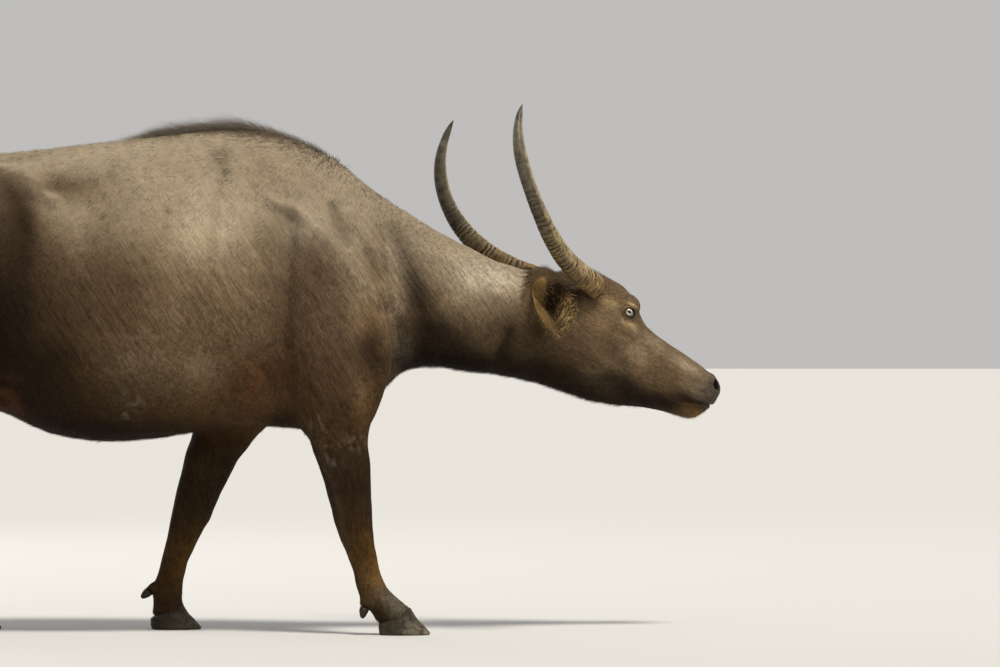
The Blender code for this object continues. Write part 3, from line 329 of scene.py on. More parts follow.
# %% Join copies of the flesh
EARS = ("ear_left", "ear_right")
LEGS = ("leg_front_left", "leg_front_right", "leg_hind_left", "leg_hind_right")
FLESH = ("torso", "neck", "head", *EARS, *LEGS, "tail", "udder")
EAR_PADDING = 0.0016
EYE_CENTRE = Vector((0.1575, 0.0870, 0.1035))
EYE_RADIUS = 0.0205
NOSTRIL_PLUG = Vector((0.476, 0.037, 0.041))
NOSTRIL = Vector((0.492, 0.049, 0.043))
NOSTRIL_AXIS = Vector((0.46, 0.88, 0.10)).normalized()
NOSTRIL_HALF_LENGTH, NOSTRIL_HALF_WIDTH = 0.0185, 0.0150
NOSTRIL_DEPTH, NOSTRIL_RIM = 0.017, 0.0022
NOSTRIL_FILL = 0.0185
LIP_GROOVE, LIP_SWELL = 0.0045, 0.0016
SKIN_VOXEL = 0.0042


def gathered_flesh():
    """The flesh in one bmesh, with each face's number in FLESH. The thin ears are padded so that they survive.

    Balls fill the eye sockets and nostrils. Both are shaped again later, on a finer mesh.
    """
    gathered = bmesh.new()
    owners = []
    for number, name in enumerate(FLESH):
        copy = bmesh.new()
        copy.from_mesh(nodes[name].data)
        bmesh.ops.remove_doubles(copy, verts=copy.verts, dist=0.00001)
        if name.startswith("ear"):
            copy.normal_update()
            for vert in copy.verts:
                vert.co += vert.normal * EAR_PADDING
        mesh = mesh_from(copy, "copy")
        gathered.from_mesh(mesh)
        bpy.data.meshes.remove(mesh)
        owners += [number] * (len(gathered.faces) - len(owners))
    for side in SIDES.values():
        for place, radius in ((EYE_CENTRE, EYE_RADIUS + 0.0024), (NOSTRIL_PLUG, NOSTRIL_FILL)):
            turn = Matrix.Translation(from_head(place, side))
            bmesh.ops.create_icosphere(gathered, subdivisions=4, radius=radius, matrix=turn)
    owners += [FLESH.index("head")] * (len(gathered.faces) - len(owners))
    return gathered, np.array(owners)


flesh, face_owner = gathered_flesh()
flesh_tree = BVHTree.FromBMesh(flesh)
skin = add_object("skin", mesh_from(flesh, "skin"))
remesh(skin, SKIN_VOXEL)
print("remeshed skin:", len(skin.data.polygons), "faces")


# %% Keep the outer surface only
def keep_largest(thing):
    """Drops every closed surface but the largest, such as a bubble that a gap left inside."""
    bpy.context.view_layer.objects.active = thing
    for other in bpy.context.selected_objects:
        other.select_set(False)
    thing.select_set(True)
    before = set(bpy.data.objects)
    bpy.ops.object.mode_set(mode="EDIT")
    bpy.ops.mesh.select_all(action="SELECT")
    bpy.ops.mesh.separate(type="LOOSE")
    bpy.ops.object.mode_set(mode="OBJECT")
    parts = [thing] + [other for other in bpy.data.objects if other not in before]
    largest = max(parts, key=lambda part: len(part.data.vertices))
    if largest is not thing:
        thing.data = largest.data
    for part in parts[1:]:
        bpy.data.objects.remove(part)
    thing.select_set(False)
    return len(parts)


print("closed surfaces found:", keep_largest(skin))


# %% Smooth by region
def owners_of(points):
    """The number in FLESH of the solid nearest to each point, and how far outside it the point lies."""
    owner = np.empty(len(points), int)
    outside = np.empty(len(points))
    for i, point in enumerate(points.tolist()):
        place, normal, index, away = flesh_tree.find_nearest(point)
        owner[i] = face_owner[index]
        outside[i] = away if (Vector(point) - place).dot(normal) > 0 else -away
    return owner, outside


def in_regions(owner, *names):
    """1 where the nearest solid is one of these."""
    return np.isin(owner, [FLESH.index(name) for name in names]).astype(float)


SMOOTHING = {
    "torso": 0.023, "neck": 0.018, "head": 0.0085, "ear_left": 0.0032, "ear_right": 0.0032,
    "leg_front_left": 0.0105, "leg_front_right": 0.0105, "leg_hind_left": 0.0115, "leg_hind_right": 0.0115,
    "tail": 0.006, "udder": 0.010,
}
COAT_DEPTH = {"torso": 0.0030, "neck": 0.0028, "head": 0.0016, "tail": 0.0012, "udder": 0.0010}
ROUNDS = 70
points = read_points(skin.data)
edges = read_edges(skin.data)
owner, _ = owners_of(points)
spreads = np.array([SMOOTHING[name] for name in FLESH])[owner]
face_points = into_head(points)
for side in SIDES.values():
    for centre, reach, spread in (
        ((0.158, 0.102 * side, 0.104), 0.045, 0.0030),
        ((0.490, 0.040 * side, 0.045), 0.040, 0.0035),
        ((0.470, 0.045 * side, -0.025), 0.050, 0.0035),
    ):
        near = hill(face_points, centre, (reach, reach, reach))
        spreads = np.minimum(spreads, spreads + (spread - spreads) * near)
spreads = smoothed(spreads, edges, 24)
shares = np.clip(spreads**2 / (ROUNDS * SKIN_VOXEL**2 / 2), 0, 1)[:, None]
points = smoothed(points, edges, ROUNDS, shares)
write_points(skin.data, points)

_, outside = owners_of(points)
depths = np.array([COAT_DEPTH.get(name, 0.0014) for name in FLESH])[owner]
on_ear = in_regions(owner, *EARS)
depths = np.where(on_ear > 0, EAR_PADDING + 0.0002, depths)
shift = smoothed(-outside, edges, 60) * (1 - on_ear) - smoothed(depths, edges, 12)
points += read_normals(skin.data) * shift[:, None]
write_points(skin.data, points)
print("smoothed; mean loss given back:", round(float(np.mean(-outside)) * 1000, 2), "mm")

# %% [markdown]
# The lids, nostrils and lips need a finer mesh than the trunk. Their faces are split twice, and each form is then
# carved by moving points: the skin sinks behind the eyeball inside an almond and swells to a lid round it, it sinks
# to a deep comma at each nostril, and to a crease along the mouth.

# %% Finer faces round the eyes and muzzle
MOUTH_LINE = (
    (0.522, 0.0, -0.012), (0.511, 0.028, -0.014), (0.490, 0.051, -0.020), (0.455, 0.060, -0.031),
    (0.412, 0.054, -0.046),
)


def split_faces(mesh, spots, times):
    """Halves the edges of the faces round some places, again and again."""
    bm = bmesh.new()
    bm.from_mesh(mesh)
    for _ in range(times):
        centres = np.array([face.calc_center_median() for face in bm.faces])
        near = np.zeros(len(centres), bool)
        for place, reach in spots:
            near |= np.linalg.norm(centres - np.array(place), axis=1) < reach
        bm.faces.ensure_lookup_table()
        edges = {edge for index in np.flatnonzero(near) for edge in bm.faces[index].edges}
        bmesh.ops.subdivide_edges(bm, edges=list(edges), cuts=1, use_grid_fill=True)
    bm.to_mesh(mesh)
    bm.free()
    mesh.update()


fine_spots = []
for side in SIDES.values():
    fine_spots.append((from_head(EYE_CENTRE + Vector((0, 0.012, 0)), side), 0.036))
    fine_spots.append((from_head(NOSTRIL, side), 0.027))
    fine_spots += [(from_head(spot, side), 0.015) for spot in MOUTH_LINE]
split_faces(skin.data, fine_spots, 2)
points = read_points(skin.data)
edges = read_edges(skin.data)
owner, _ = owners_of(points)
on_ear = in_regions(owner, *EARS)
fine = np.zeros(len(points))
for place, reach in fine_spots:
    fine = np.maximum(fine, ramp(reach - np.linalg.norm(points - np.array(place), axis=1), 0.0, 0.004))
points = smoothed(points, edges, 10, (0.6 * fine)[:, None])
write_points(skin.data, points)
print("skin with fine spots:", len(skin.data.polygons), "faces")

# %% Carve the lids
EYE_AXIS = Vector((0.12, 0.98, 0.08))
EYE_TILT = math.radians(-8.0)
LID_OPENING = (0.0130, 0.0112)
LID_THICKNESS = 0.0024


def eye_frame(side):
    """The eye's outward way, forward way and upward way."""
    outward = turn_from_head(EYE_AXIS, side)
    fore = turn_from_head((math.cos(EYE_TILT), 0, math.sin(EYE_TILT)), side)
    fore = (fore - outward * fore.dot(outward)).normalized()
    up = outward.cross(fore)
    return outward, fore, up if up.z > 0 else -up


def almond(points, side):
    """How far out each point lies round the opening, 1 at its edge, its height, and its place from the eye."""
    outward, fore, up = (np.array(way) for way in eye_frame(side))
    from_centre = points - np.array(from_head(EYE_CENTRE, side))
    across, rise, out = from_centre @ fore, from_centre @ up, from_centre @ outward
    corner = np.where(across > 0, 1.12, 1.0)
    edge = np.hypot(across / (LID_OPENING[0] * corner), rise / LID_OPENING[1])
    return np.where(out > 0.002, edge, 99.0), rise, from_centre


def carve_lids(points, side):
    """Opens the skin over one eyeball and shapes both lids and the folds round them."""
    edge, rise, from_centre = almond(points, side)
    reach = np.linalg.norm(from_centre, axis=1)
    upper = ramp(rise, -0.002, 0.004)
    hidden = EYE_RADIUS - 0.0022
    lid = EYE_RADIUS + LID_THICKNESS + 0.0008 * upper
    target = hidden + (lid - hidden) * ramp(edge, 0.84, 1.02)
    settle = ramp(edge, 1.20, 1.9)
    target = np.where(edge < 1.2, target, target + (np.maximum(reach, lid) - target) * settle)
    folds = -0.0016 * np.exp(-(((edge - 1.62) / 0.13) ** 2)) * upper
    folds += 0.0010 * np.exp(-(((edge - 1.95) / 0.20) ** 2)) * upper
    folds += -0.0012 * np.exp(-(((edge - 2.45) / 0.20) ** 2))
    folds += -0.0009 * np.exp(-(((edge - 1.75) / 0.12) ** 2)) * (1 - upper)
    target = target + folds * (edge < 4)
    share = np.where(edge < 4, target / np.maximum(reach, 1e-6), 1.0)
    share = np.where(reach < 0.05, share, 1.0)
    return points + from_centre * (share - 1)[:, None]


for side in SIDES.values():
    points = carve_lids(points, side)
write_points(skin.data, points)


# %% Carve nostrils and mouth
def nostril_place(points, side):
    """Each point's place in a nostril's own frame: along its slant, across it, and out of the face."""
    out = turn_from_head(NOSTRIL_AXIS, side)
    slant = turn_from_head((-0.42, 0.0, 0.91), side)
    slant = (slant - out * slant.dot(out)).normalized()
    across = slant.cross(out)
    if across.dot(turn_from_head((1, 0, 0), side)) < 0:
        across = -across
    from_place = points - np.array(from_head(NOSTRIL, side))
    return from_place @ np.array(slant), from_place @ np.array(across), from_place @ np.array(out), np.array(out)


def nostril_depth(points, side):
    """0 outside a nostril, 1 in its deepest part, and the height of the rim round it."""
    along, across, out, _ = nostril_place(points, side)
    bent = across - 8.0 * (along + 0.004) ** 2 - 0.001
    edge = np.hypot(along / NOSTRIL_HALF_LENGTH, bent / (NOSTRIL_HALF_WIDTH + 0.14 * along))
    near = (np.abs(out) < 0.03) & (np.abs(along) < 0.04)
    hole = np.where(near, 1 - ramp(edge, 0.72, 1.02), 0)
    rim = np.where(near, np.exp(-(((edge - 1.45) / 0.32) ** 2)), 0)
    return hole, rim


def mouth_gap(points):
    """Each point's distance from the mouth's line, on whichever side it is."""
    face = either_side(into_head(points))
    nearest = np.full(len(points), np.inf)
    for start, end in zip(MOUTH_LINE, MOUTH_LINE[1:]):
        start, run = np.array(start), np.array(end) - np.array(start)
        share = np.clip((face - start) @ run / (run @ run), 0, 1)
        away = (face - start - share[:, None] * run) * (0.6, 0.6, 1.0)
        nearest = np.minimum(nearest, np.linalg.norm(away, axis=1))
    return nearest


points = read_points(skin.data)
normals = read_normals(skin.data)
gap = mouth_gap(points)
lips = LIP_SWELL * np.exp(-(((gap - 0.0075) / 0.004) ** 2)) - LIP_GROOVE * np.exp(-((gap / 0.0026) ** 2))
move = normals * lips[:, None]
for side in SIDES.values():
    hole, rim = nostril_depth(points, side)
    out = nostril_place(points, side)[3]
    inward = -out + 0.5 * np.array(turn_from_head((-1, 0, 0)))
    move += inward * (NOSTRIL_DEPTH * hole)[:, None] + normals * (NOSTRIL_RIM * rim * (1 - hole))[:, None]
points += move
points = smoothed(points, edges, 3, (0.4 * fine)[:, None])
write_points(skin.data, points)
print("lids, nostrils and mouth carved")

# %% [markdown]
# ## The ear's own frame
#
# Marks on an ear are given along it from its base to its tip, across it towards the face, and out of its cup. The
# cup is deepened here, both walls together, so that the ear stays a thin shell.

# %% Deepen the ears' cups
EAR_BASE = np.array([-0.094, 0.104, 0.062])
EAR_LENGTH = 0.222
EAR_CUP_DEPTH = 0.015
EAR_WAYS = np.array([[0.160, 0.780, -0.600], [0.964, -0.027, 0.222], [-0.130, 0.757, 0.654]])


def ear_places(points):
    """Each point's share along its ear, its place across it and out of its cup, and the ear's side."""
    face = into_head(points)
    side = np.where(face[:, 1] > 0, 1.0, -1.0)
    places = (either_side(face) - EAR_BASE) @ unit(EAR_WAYS).T
    return places[:, 0] / EAR_LENGTH, places[:, 1], places[:, 2], side


def ear_way(number, side):
    """One of the ear's own ways in the world, for each side asked."""
    ways = {value: np.array(turn_from_head(EAR_WAYS[number], value)) for value in SIDES.values()}
    return np.array([ways[value] for value in side])


along, across, _, side = ear_places(points)
cup = np.exp(-(((across - 0.002) / 0.026) ** 2)) * ramp(along, 0.05, 0.35) * (1 - ramp(along, 0.62, 0.92))
points -= ear_way(2, side) * (EAR_CUP_DEPTH * cup * smoothed(on_ear, edges, 6))[:, None]
write_points(skin.data, points)
print("ear cups deepened by up to", round(float((cup * on_ear).max()) * EAR_CUP_DEPTH * 1000, 1), "mm")

# %% [markdown]
# ## Bones, folds and hollows
#
# What makes a lean cow look alive is the relief under the hide: the hip bone, the hollow of the flank, faint ribs,
# the edge of the shoulder blade, the folds where the foreleg meets the chest and the lines that run down the neck.
# Each is a soft ridge or furrow along a line seen in the photo, and the same line also paints a little light onto
# each ridge and a little shade into each furrow.

# %% Relief of the trunk
# photo line, reach, rise (all in metres but the line, which is in photo pixels), tint from dark -1 to pale 1
# The tint is painted light on a ridge and painted shade in a furrow.
TRUNK_FOLDS = (
    (((4, 171), (28, 177), (43, 193), (58, 203)), 0.017, 0.015, 0.9),
    (((6, 187), (22, 205), (28, 228)), 0.034, -0.016, -0.6),
    (((52, 192), (82, 188), (113, 179)), 0.028, -0.012, -0.4),
    (((62, 168), (98, 171)), 0.026, 0.004, 0.5),
    (((-40, 170), (0, 165), (50, 154)), 0.012, -0.004, -0.5),
    (((206, 194), (195, 262)), 0.020, 0.0050, 0.4),
    (((239, 181), (241, 250)), 0.020, 0.0050, 0.4),
    (((222, 186), (214, 262)), 0.014, -0.0045, -0.3),
    (((256, 190), (258, 250)), 0.012, -0.0040, -0.2),
    (((165, 200), (121, 250)), 0.022, 0.0045, 0.4),
    (((184, 208), (150, 268)), 0.014, -0.0045, -0.3),
    (((140, 196), (100, 246)), 0.014, -0.0040, -0.3),
    (((292, 220), (290, 285), (284, 345)), 0.022, -0.014, -0.5),
    (((268, 215), (266, 290), (262, 340)), 0.030, 0.006, 0.2),
    (((272, 203), (300, 212), (325, 236), (345, 258), (362, 285)), 0.016, 0.013, 0.8),
    (((306, 250), (328, 288), (336, 316)), 0.036, -0.007, -0.6),
    (((334, 207), (350, 246)), 0.013, -0.009, -0.7),
    (((350, 215), (372, 250), (384, 300)), 0.016, 0.008, 0.3),
    (((369, 255), (381, 288), (386, 312)), 0.013, -0.011, -0.9),
    (((386, 290), (408, 326), (404, 352)), 0.024, 0.010, 0.6),
    (((391, 228), (408, 267), (418, 308)), 0.022, -0.010, -0.9),
    (((269, 368), (282, 402), (302, 432)), 0.012, -0.009, -0.8),
    (((252, 368), (268, 396)), 0.014, 0.004, 0.0),
    (((-30, 392), (0, 387), (24, 385)), 0.012, -0.008, -0.9),
    (((258, 436), (225, 428), (196, 440)), 0.012, -0.004, -0.4),
    (((352, 430), (363, 495)), 0.008, -0.003, -0.4),
    (((322, 440), (338, 500), (350, 560)), 0.010, 0.003, 0.2),
)


def on_flank(points, normals):
    """1 where the hide faces sideways, 0 where it faces up, down or inwards between the legs."""
    outward = normals[:, 1] * np.sign(points[:, 1] - MIDDLE.y)
    return ramp(outward, 0.05, 0.5)


NECK_LINES_MIDDLE = (402, 268)
NECK_LINE_SPACING, NECK_LINE_HEIGHT = 0.0145, 0.0016
UNEVENNESS = 0.0010


def neck_lines(points):
    """The fine folds that run down in front of the shoulder, as waves across their own direction."""
    flat = points[:, [0, 2]] - photo_spot(*NECK_LINES_MIDDLE)
    across = flat @ np.array([0.87, 0.5])
    along = flat @ np.array([0.5, -0.87])
    area = np.exp(-((across / 0.055) ** 2) - (along / 0.11) ** 2)
    return area * np.sin(across * 2 * math.pi / NECK_LINE_SPACING + 2.2 * ripple(points, 0.16, 31))


normals = read_normals(skin.data)
flank = on_flank(points, normals)
on_face = ramp(into_head(points)[:, 0], -0.04, 0.04) * in_regions(owner, "head")
rise = np.zeros(len(points))
for line, reach, height, _ in TRUNK_FOLDS:
    rise += height * near_line(points, line, reach)
rise *= flank * (1 - on_face)
rise += NECK_LINE_HEIGHT * neck_lines(points) * flank
rise += UNEVENNESS * ripple(points, 0.055, 5) * (1 - on_ear) * (1 - 0.7 * on_face)

# %% [markdown]
# At the coronet the hairy skin hangs a little over the top of each hoof, so the skin's lower edge is drawn down and
# out there, and a band swells above it. Between the two claws the skin sinks to a cleft.

# %% Coronets and clefts
CORONET_TILT = math.radians(18.0)
CORONET_HEIGHT = 0.055
CORONET_FLARE, CORONET_HANG, CORONET_SWELL = 0.0042, 0.0070, 0.0020
CLEFT_DEPTH = 0.0045
FOOT_SCALES = {"front_left": 1.0, "front_right": 1.0, "hind_left": 0.95, "hind_right": 0.95}


def foot_middle(name):
    """The foot's middle on the floor, from its two claws."""
    corners = [corner for word in ("outer", "inner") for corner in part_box(f"claw_{name}_{word}")]
    across = [corner.y for corner in corners]
    along = [corner.x for corner in corners]
    return Vector(((min(along) + max(along)) / 2 - 0.006, (min(across) + max(across)) / 2, 0.0))


skirt = np.zeros_like(points)
for name, scale in FOOT_SCALES.items():
    foot = foot_middle(name)
    normal = np.array([-math.sin(CORONET_TILT), 0, math.cos(CORONET_TILT)])
    from_top = points - np.array(foot + Vector((0, 0, CORONET_HEIGHT * scale)))
    height = from_top @ normal
    near = (np.hypot(points[:, 0] - foot.x, points[:, 1] - foot.y) < 0.12) & (height < 0.06)
    band = np.where(near, np.exp(-((height / 0.011) ** 2)), 0)
    outward = unit(from_top * (1, 1, 0))
    hang = CORONET_HANG * band * ramp(-height, -0.012, 0.0)
    skirt += outward * (CORONET_FLARE * band)[:, None] - normal * hang[:, None]
    swell = np.where(near, np.exp(-(((height - 0.014) / 0.009) ** 2)), 0)
    skirt += outward * (CORONET_SWELL * swell)[:, None]
    cleft = np.where(near, np.exp(-(((points[:, 1] - foot.y) / 0.006) ** 2)) * ramp(-height, -0.030, -0.002), 0)
    skirt -= outward * (CLEFT_DEPTH * cleft * ramp(np.abs(from_top[:, 0]), 0.0, 0.02))[:, None]
points += skirt

# %% [markdown]
# The face gets its own relief in the head's frame: the bony rim over the eye, the long bone under it, the hollow
# of the temple, the thick edge of the nostril, and the soft fold at the corner of the mouth.

# %% Relief of the face
# along the face, out, up, reach along, out and up, rise
FACE_FORMS = (
    (0.160, 0.088, 0.137, 0.030, 0.020, 0.012, 0.0025),
    (0.120, 0.098, 0.100, 0.016, 0.020, 0.022, -0.0030),
    (0.196, 0.090, 0.090, 0.010, 0.030, 0.022, -0.0030),
    (0.208, 0.088, 0.078, 0.008, 0.030, 0.016, 0.0018),
    (0.190, 0.086, 0.060, 0.060, 0.030, 0.010, 0.0026),
    (0.225, 0.080, 0.058, 0.045, 0.030, 0.006, -0.0022),
    (0.150, 0.090, 0.040, 0.050, 0.030, 0.010, -0.0016),
    (0.130, 0.090, -0.050, 0.060, 0.040, 0.012, 0.0030),
    (0.240, 0.070, -0.010, 0.070, 0.040, 0.010, 0.0022),
    (0.300, 0.066, 0.052, 0.050, 0.030, 0.006, -0.0020),
    (0.420, 0.060, 0.030, 0.014, 0.030, 0.030, -0.0030),
    (0.270, 0.078, 0.050, 0.080, 0.030, 0.008, 0.0018),
    (0.330, 0.060, 0.020, 0.060, 0.030, 0.022, -0.0026),
    (0.060, 0.105, 0.060, 0.045, 0.030, 0.030, -0.0030),
    (0.466, 0.046, 0.046, 0.010, 0.014, 0.020, 0.0030),
    (0.498, 0.040, 0.070, 0.014, 0.014, 0.008, 0.0030),
    (0.500, 0.020, 0.020, 0.014, 0.012, 0.020, 0.0020),
    (0.400, 0.055, -0.042, 0.014, 0.016, 0.014, 0.0022),
)
face_points = into_head(points)
for side in SIDES.values():
    for along, out, up, *reach, height in FACE_FORMS:
        rise += height * hill(face_points, (along, out * side, up), reach)
points += normals * rise[:, None]
write_points(skin.data, points)
print("relief from", round(float(rise.min()) * 1000, 1), "to", round(float(rise.max()) * 1000, 1), "mm")


# %% [markdown]
# A piece should stay under 200,000 triangles. The skin is now even squares, which wastes triangles on the smooth
# trunk, so Decimate merges what is flat down to about 186,000 triangles, and a vertex group keeps it from doing so
# on the head.

# %% Thin the skin
SKIN_TRIANGLES = 186000
kept_fine = ramp(into_head(points)[:, 0], -0.10, -0.02) * in_regions(owner, "head") + on_ear
care = 1 - 0.85 * np.clip(kept_fine, 0, 1)
group = skin.vertex_groups.new(name="thin")
for level in np.unique(np.round(care, 1)):
    group.add(np.flatnonzero(np.round(care, 1) == level).tolist(), float(level), "REPLACE")
thin = skin.modifiers.new("thin", "DECIMATE")
thin.vertex_group = group.name
thin.vertex_group_factor = 0.0006
thin.ratio = min(1.0, SKIN_TRIANGLES / (2 * len(skin.data.polygons)))
thin.use_collapse_triangulate = True
apply_modifiers(skin)
skin.vertex_groups.clear()
shade_smooth(skin)
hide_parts(*FLESH)
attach(skin, "root")
print("skin:", len(skin.data.polygons), "triangles")
skin_points = read_points(skin.data)
skin_normals = read_normals(skin.data)
skin_owner, _ = owners_of(skin_points)


# %% [markdown]
# ## The hide's colours
#
# A buffalo's hide is grey-brown skin under thin hair. Dust and sun make the back and the top of the neck tan, the
# lower flank, belly and legs are nearly black-brown, the armpit and the fold before the thigh show red-brown skin,
# and the muzzle is bare and dark. Over these tones the colour also carries painted shade in the hollows, folds and
# undersides, and painted light on sunlit parts and ridges. One function of place gives the colour, and both the skin
# and every tuft of hair ask it, so the two always agree.

# %% Colours by place
def tone(red, green, blue):
    """A screen colour from 0 to 255 as linear light."""
    values = np.array([red, green, blue]) / 255
    return np.where(values <= 0.04045, values / 12.92, ((values + 0.055) / 1.055) ** 2.4)


BACK_TAN = tone(145, 131, 110)
FLANK_BROWN = tone(112, 94, 72)
BELLY_BROWN = tone(62, 44, 22)
LEG_BROWN = tone(50, 36, 20)
SHANK_ORANGE = tone(112, 80, 32)
MUZZLE_GREY = tone(82, 71, 59)
RED_FOLD = tone(98, 62, 40)
MUD_GREY = tone(128, 116, 98)
PASTERN_GREY = tone(100, 94, 80)
STRAW = tone(168, 142, 98)
CHIN_TAN = tone(138, 100, 50)
NECK_DARK = tone(46, 36, 24)

# Broad soft marks as seen from the side: middle and reach in photo pixels, lean in degrees, tone, share
# Thigh, hip hollow, flank hollow, belly line, shoulder, upper arm, neck hollow and under the neck are painted shade,
# partly over darker hide; sunny flank, point of the shoulder and sunny neck are painted light; the rest are own
# tones.
BODY_TONES_AND_PAINTED_SHADING = {
    "thigh": ((6, 300), (36, 90), 0, tone(50, 38, 22), 0.85),
    "hip hollow": ((27, 212), (12, 34), -15, tone(92, 75, 52), 0.60),
    "flank hollow": ((86, 192), (46, 15), 6, tone(110, 93, 70), 0.60),
    "sunny flank": ((200, 228), (62, 36), 0, tone(156, 139, 112), 0.50),
    "barrel": ((110, 270), (90, 40), 0, tone(104, 86, 64), 0.40),
    "dusty barrel": ((150, 362), (70, 34), -4, tone(122, 104, 80), 0.60),
    "belly line": ((100, 436), (190, 17), 3, tone(40, 25, 9), 0.80),
    "withers": ((275, 176), (44, 26), 12, tone(134, 117, 95), 0.50),
    "shoulder": ((318, 286), (27, 66), -10, tone(84, 66, 50), 0.70),
    "upper arm": ((334, 376), (46, 48), 0, tone(66, 49, 32), 0.75),
    "point of the shoulder": ((374, 314), (13, 36), 14, tone(142, 117, 86), 0.50),
    "neck hollow": ((420, 300), (14, 52), -16, tone(62, 49, 36), 0.60),
    "sunny neck": ((480, 292), (36, 20), 14, tone(150, 134, 108), 0.40),
    "under the neck": ((440, 362), (70, 18), 4, tone(38, 28, 16), 0.70),
}
# Painted shade and painted light as seen from the side, with a few own tones: middle, reach, lean, and the light
# that is left
BODY_PAINTED_SHADING = {
    "whole body": ((200, 300), (3000, 3000), 0, 0.88),
    "rump": ((-6, 190), (36, 34), 0, 0.62),
    "thigh": ((-14, 320), (66, 112), 0, 0.20),
    "before the thigh": ((30, 235), (16, 32), -10, 0.42),
    "rear barrel": ((72, 300), (42, 62), 0, 0.46),
    "middle barrel": ((130, 300), (34, 60), 0, 0.57),
    "low rear barrel": ((60, 395), (70, 40), 8, 0.46),
    "belly": ((110, 436), (100, 14), 2, 0.38),
    "behind the shoulder": ((268, 275), (18, 66), 0, 0.78),
    "blade": ((300, 335), (20, 60), 4, 0.60),
    "brisket": ((374, 350), (13, 26), 0, 0.32),
    "lower neck": ((430, 318), (24, 44), -12, 0.26),
    "under the neck": ((478, 364), (34, 8), 4, 0.45),
    "throat": ((530, 335), (26, 28), 0, 0.38),
    "sunny barrel": ((212, 236), (44, 30), 0, 1.50),
    "paler low barrel": ((208, 376), (24, 26), 0, 1.75),
    "elbow's fold": ((282, 420), (16, 9), 0, 0.40),
    "front of the arm": ((366, 400), (12, 30), 0, 2.2),
    "blade's top": ((306, 232), (18, 20), 0, 1.70),
    "middle of the neck": ((475, 320), (28, 18), 10, 0.80),
    "top of the neck": ((486, 278), (36, 20), 12, 1.90),
    "side of the hip": ((62, 212), (24, 9), 0, 1.35),
    "hollow of the hip": ((74, 190), (24, 9), 4, 0.72),
    "under the withers": ((250, 200), (80, 20), 5, 1.12),
    "before the blade": ((274, 240), (11, 20), 0, 0.75),
    "front of the blade": ((372, 328), (11, 30), 4, 0.74),
    "behind the ear": ((532, 336), (20, 18), 0, 0.30),
    "forearms": ((270, 490), (130, 34), 0, 0.62),
    "paler elbow": ((225, 406), (74, 20), 0, 1.48),
    "side of the armpit": ((270, 396), (28, 22), 0, 1.32),
    "rib before the hip": ((84, 246), (13, 36), 0, 1.32),
    "below the hip": ((34, 285), (12, 46), 0, 0.66),
    "low flank": ((70, 352), (18, 14), 0, 0.66),
    "shoulder's front": ((394, 312), (9, 9), 0, 1.6),
    "low neck spot": ((442, 352), (9, 9), 0, 1.5),
    "mud patch": ((346, 452), (9, 10), 0, 1.4),
    "armpit": ((252, 428), (14, 9), 0, 1.40),
    "arm": ((358, 384), (26, 24), 0, 1.35),
    "far forearm": ((204, 490), (20, 30), 0, 1.45),
    "near fetlock": ((374, 586), (18, 22), 0, 1.6),
}
# Painted shade and painted light on the face: along it and up it in the head's frame, reach along and up, and the
# light that is left
FACE_PAINTED_SHADING = {
    "whole face": (0.20, 0.0, 9.0, 9.0, 0.68),
    "jaw": (0.150, -0.100, 0.050, 0.020, 2.0),
    "under the jaw": (0.280, -0.090, 0.060, 0.018, 0.60),
    "before the cheek": (0.150, -0.020, 0.040, 0.030, 0.78),
    "side of the face": (0.235, 0.020, 0.045, 0.030, 1.80),
    "side of the nose": (0.330, 0.000, 0.045, 0.030, 0.68),
    "nose bridge": (0.390, 0.055, 0.050, 0.018, 1.55),
    "long bridge": (0.270, 0.075, 0.040, 0.014, 2.0),
    "muzzle": (0.450, 0.010, 0.030, 0.030, 1.55),
    "lips": (0.430, -0.036, 0.045, 0.012, 0.42),
    "mouth's corner": (0.360, -0.060, 0.050, 0.018, 0.25),
    "under the eye": (0.172, 0.078, 0.028, 0.012, 1.7),
    "temple": (0.090, 0.050, 0.040, 0.030, 1.45),
    "brow": (0.125, 0.120, 0.040, 0.016, 1.35),
    "horn's root": (0.086, 0.107, 0.030, 0.016, 2.1),
    "rear cheek": (0.108, -0.085, 0.040, 0.022, 1.30),
    "before the eye": (0.198, 0.074, 0.018, 0.014, 1.45),
    "nose ridge": (0.290, 0.058, 0.045, 0.012, 1.45),
    "low cheek": (0.170, -0.055, 0.045, 0.022, 1.35),
    "behind the ear": (-0.064, -0.052, 0.034, 0.040, 0.40),
}
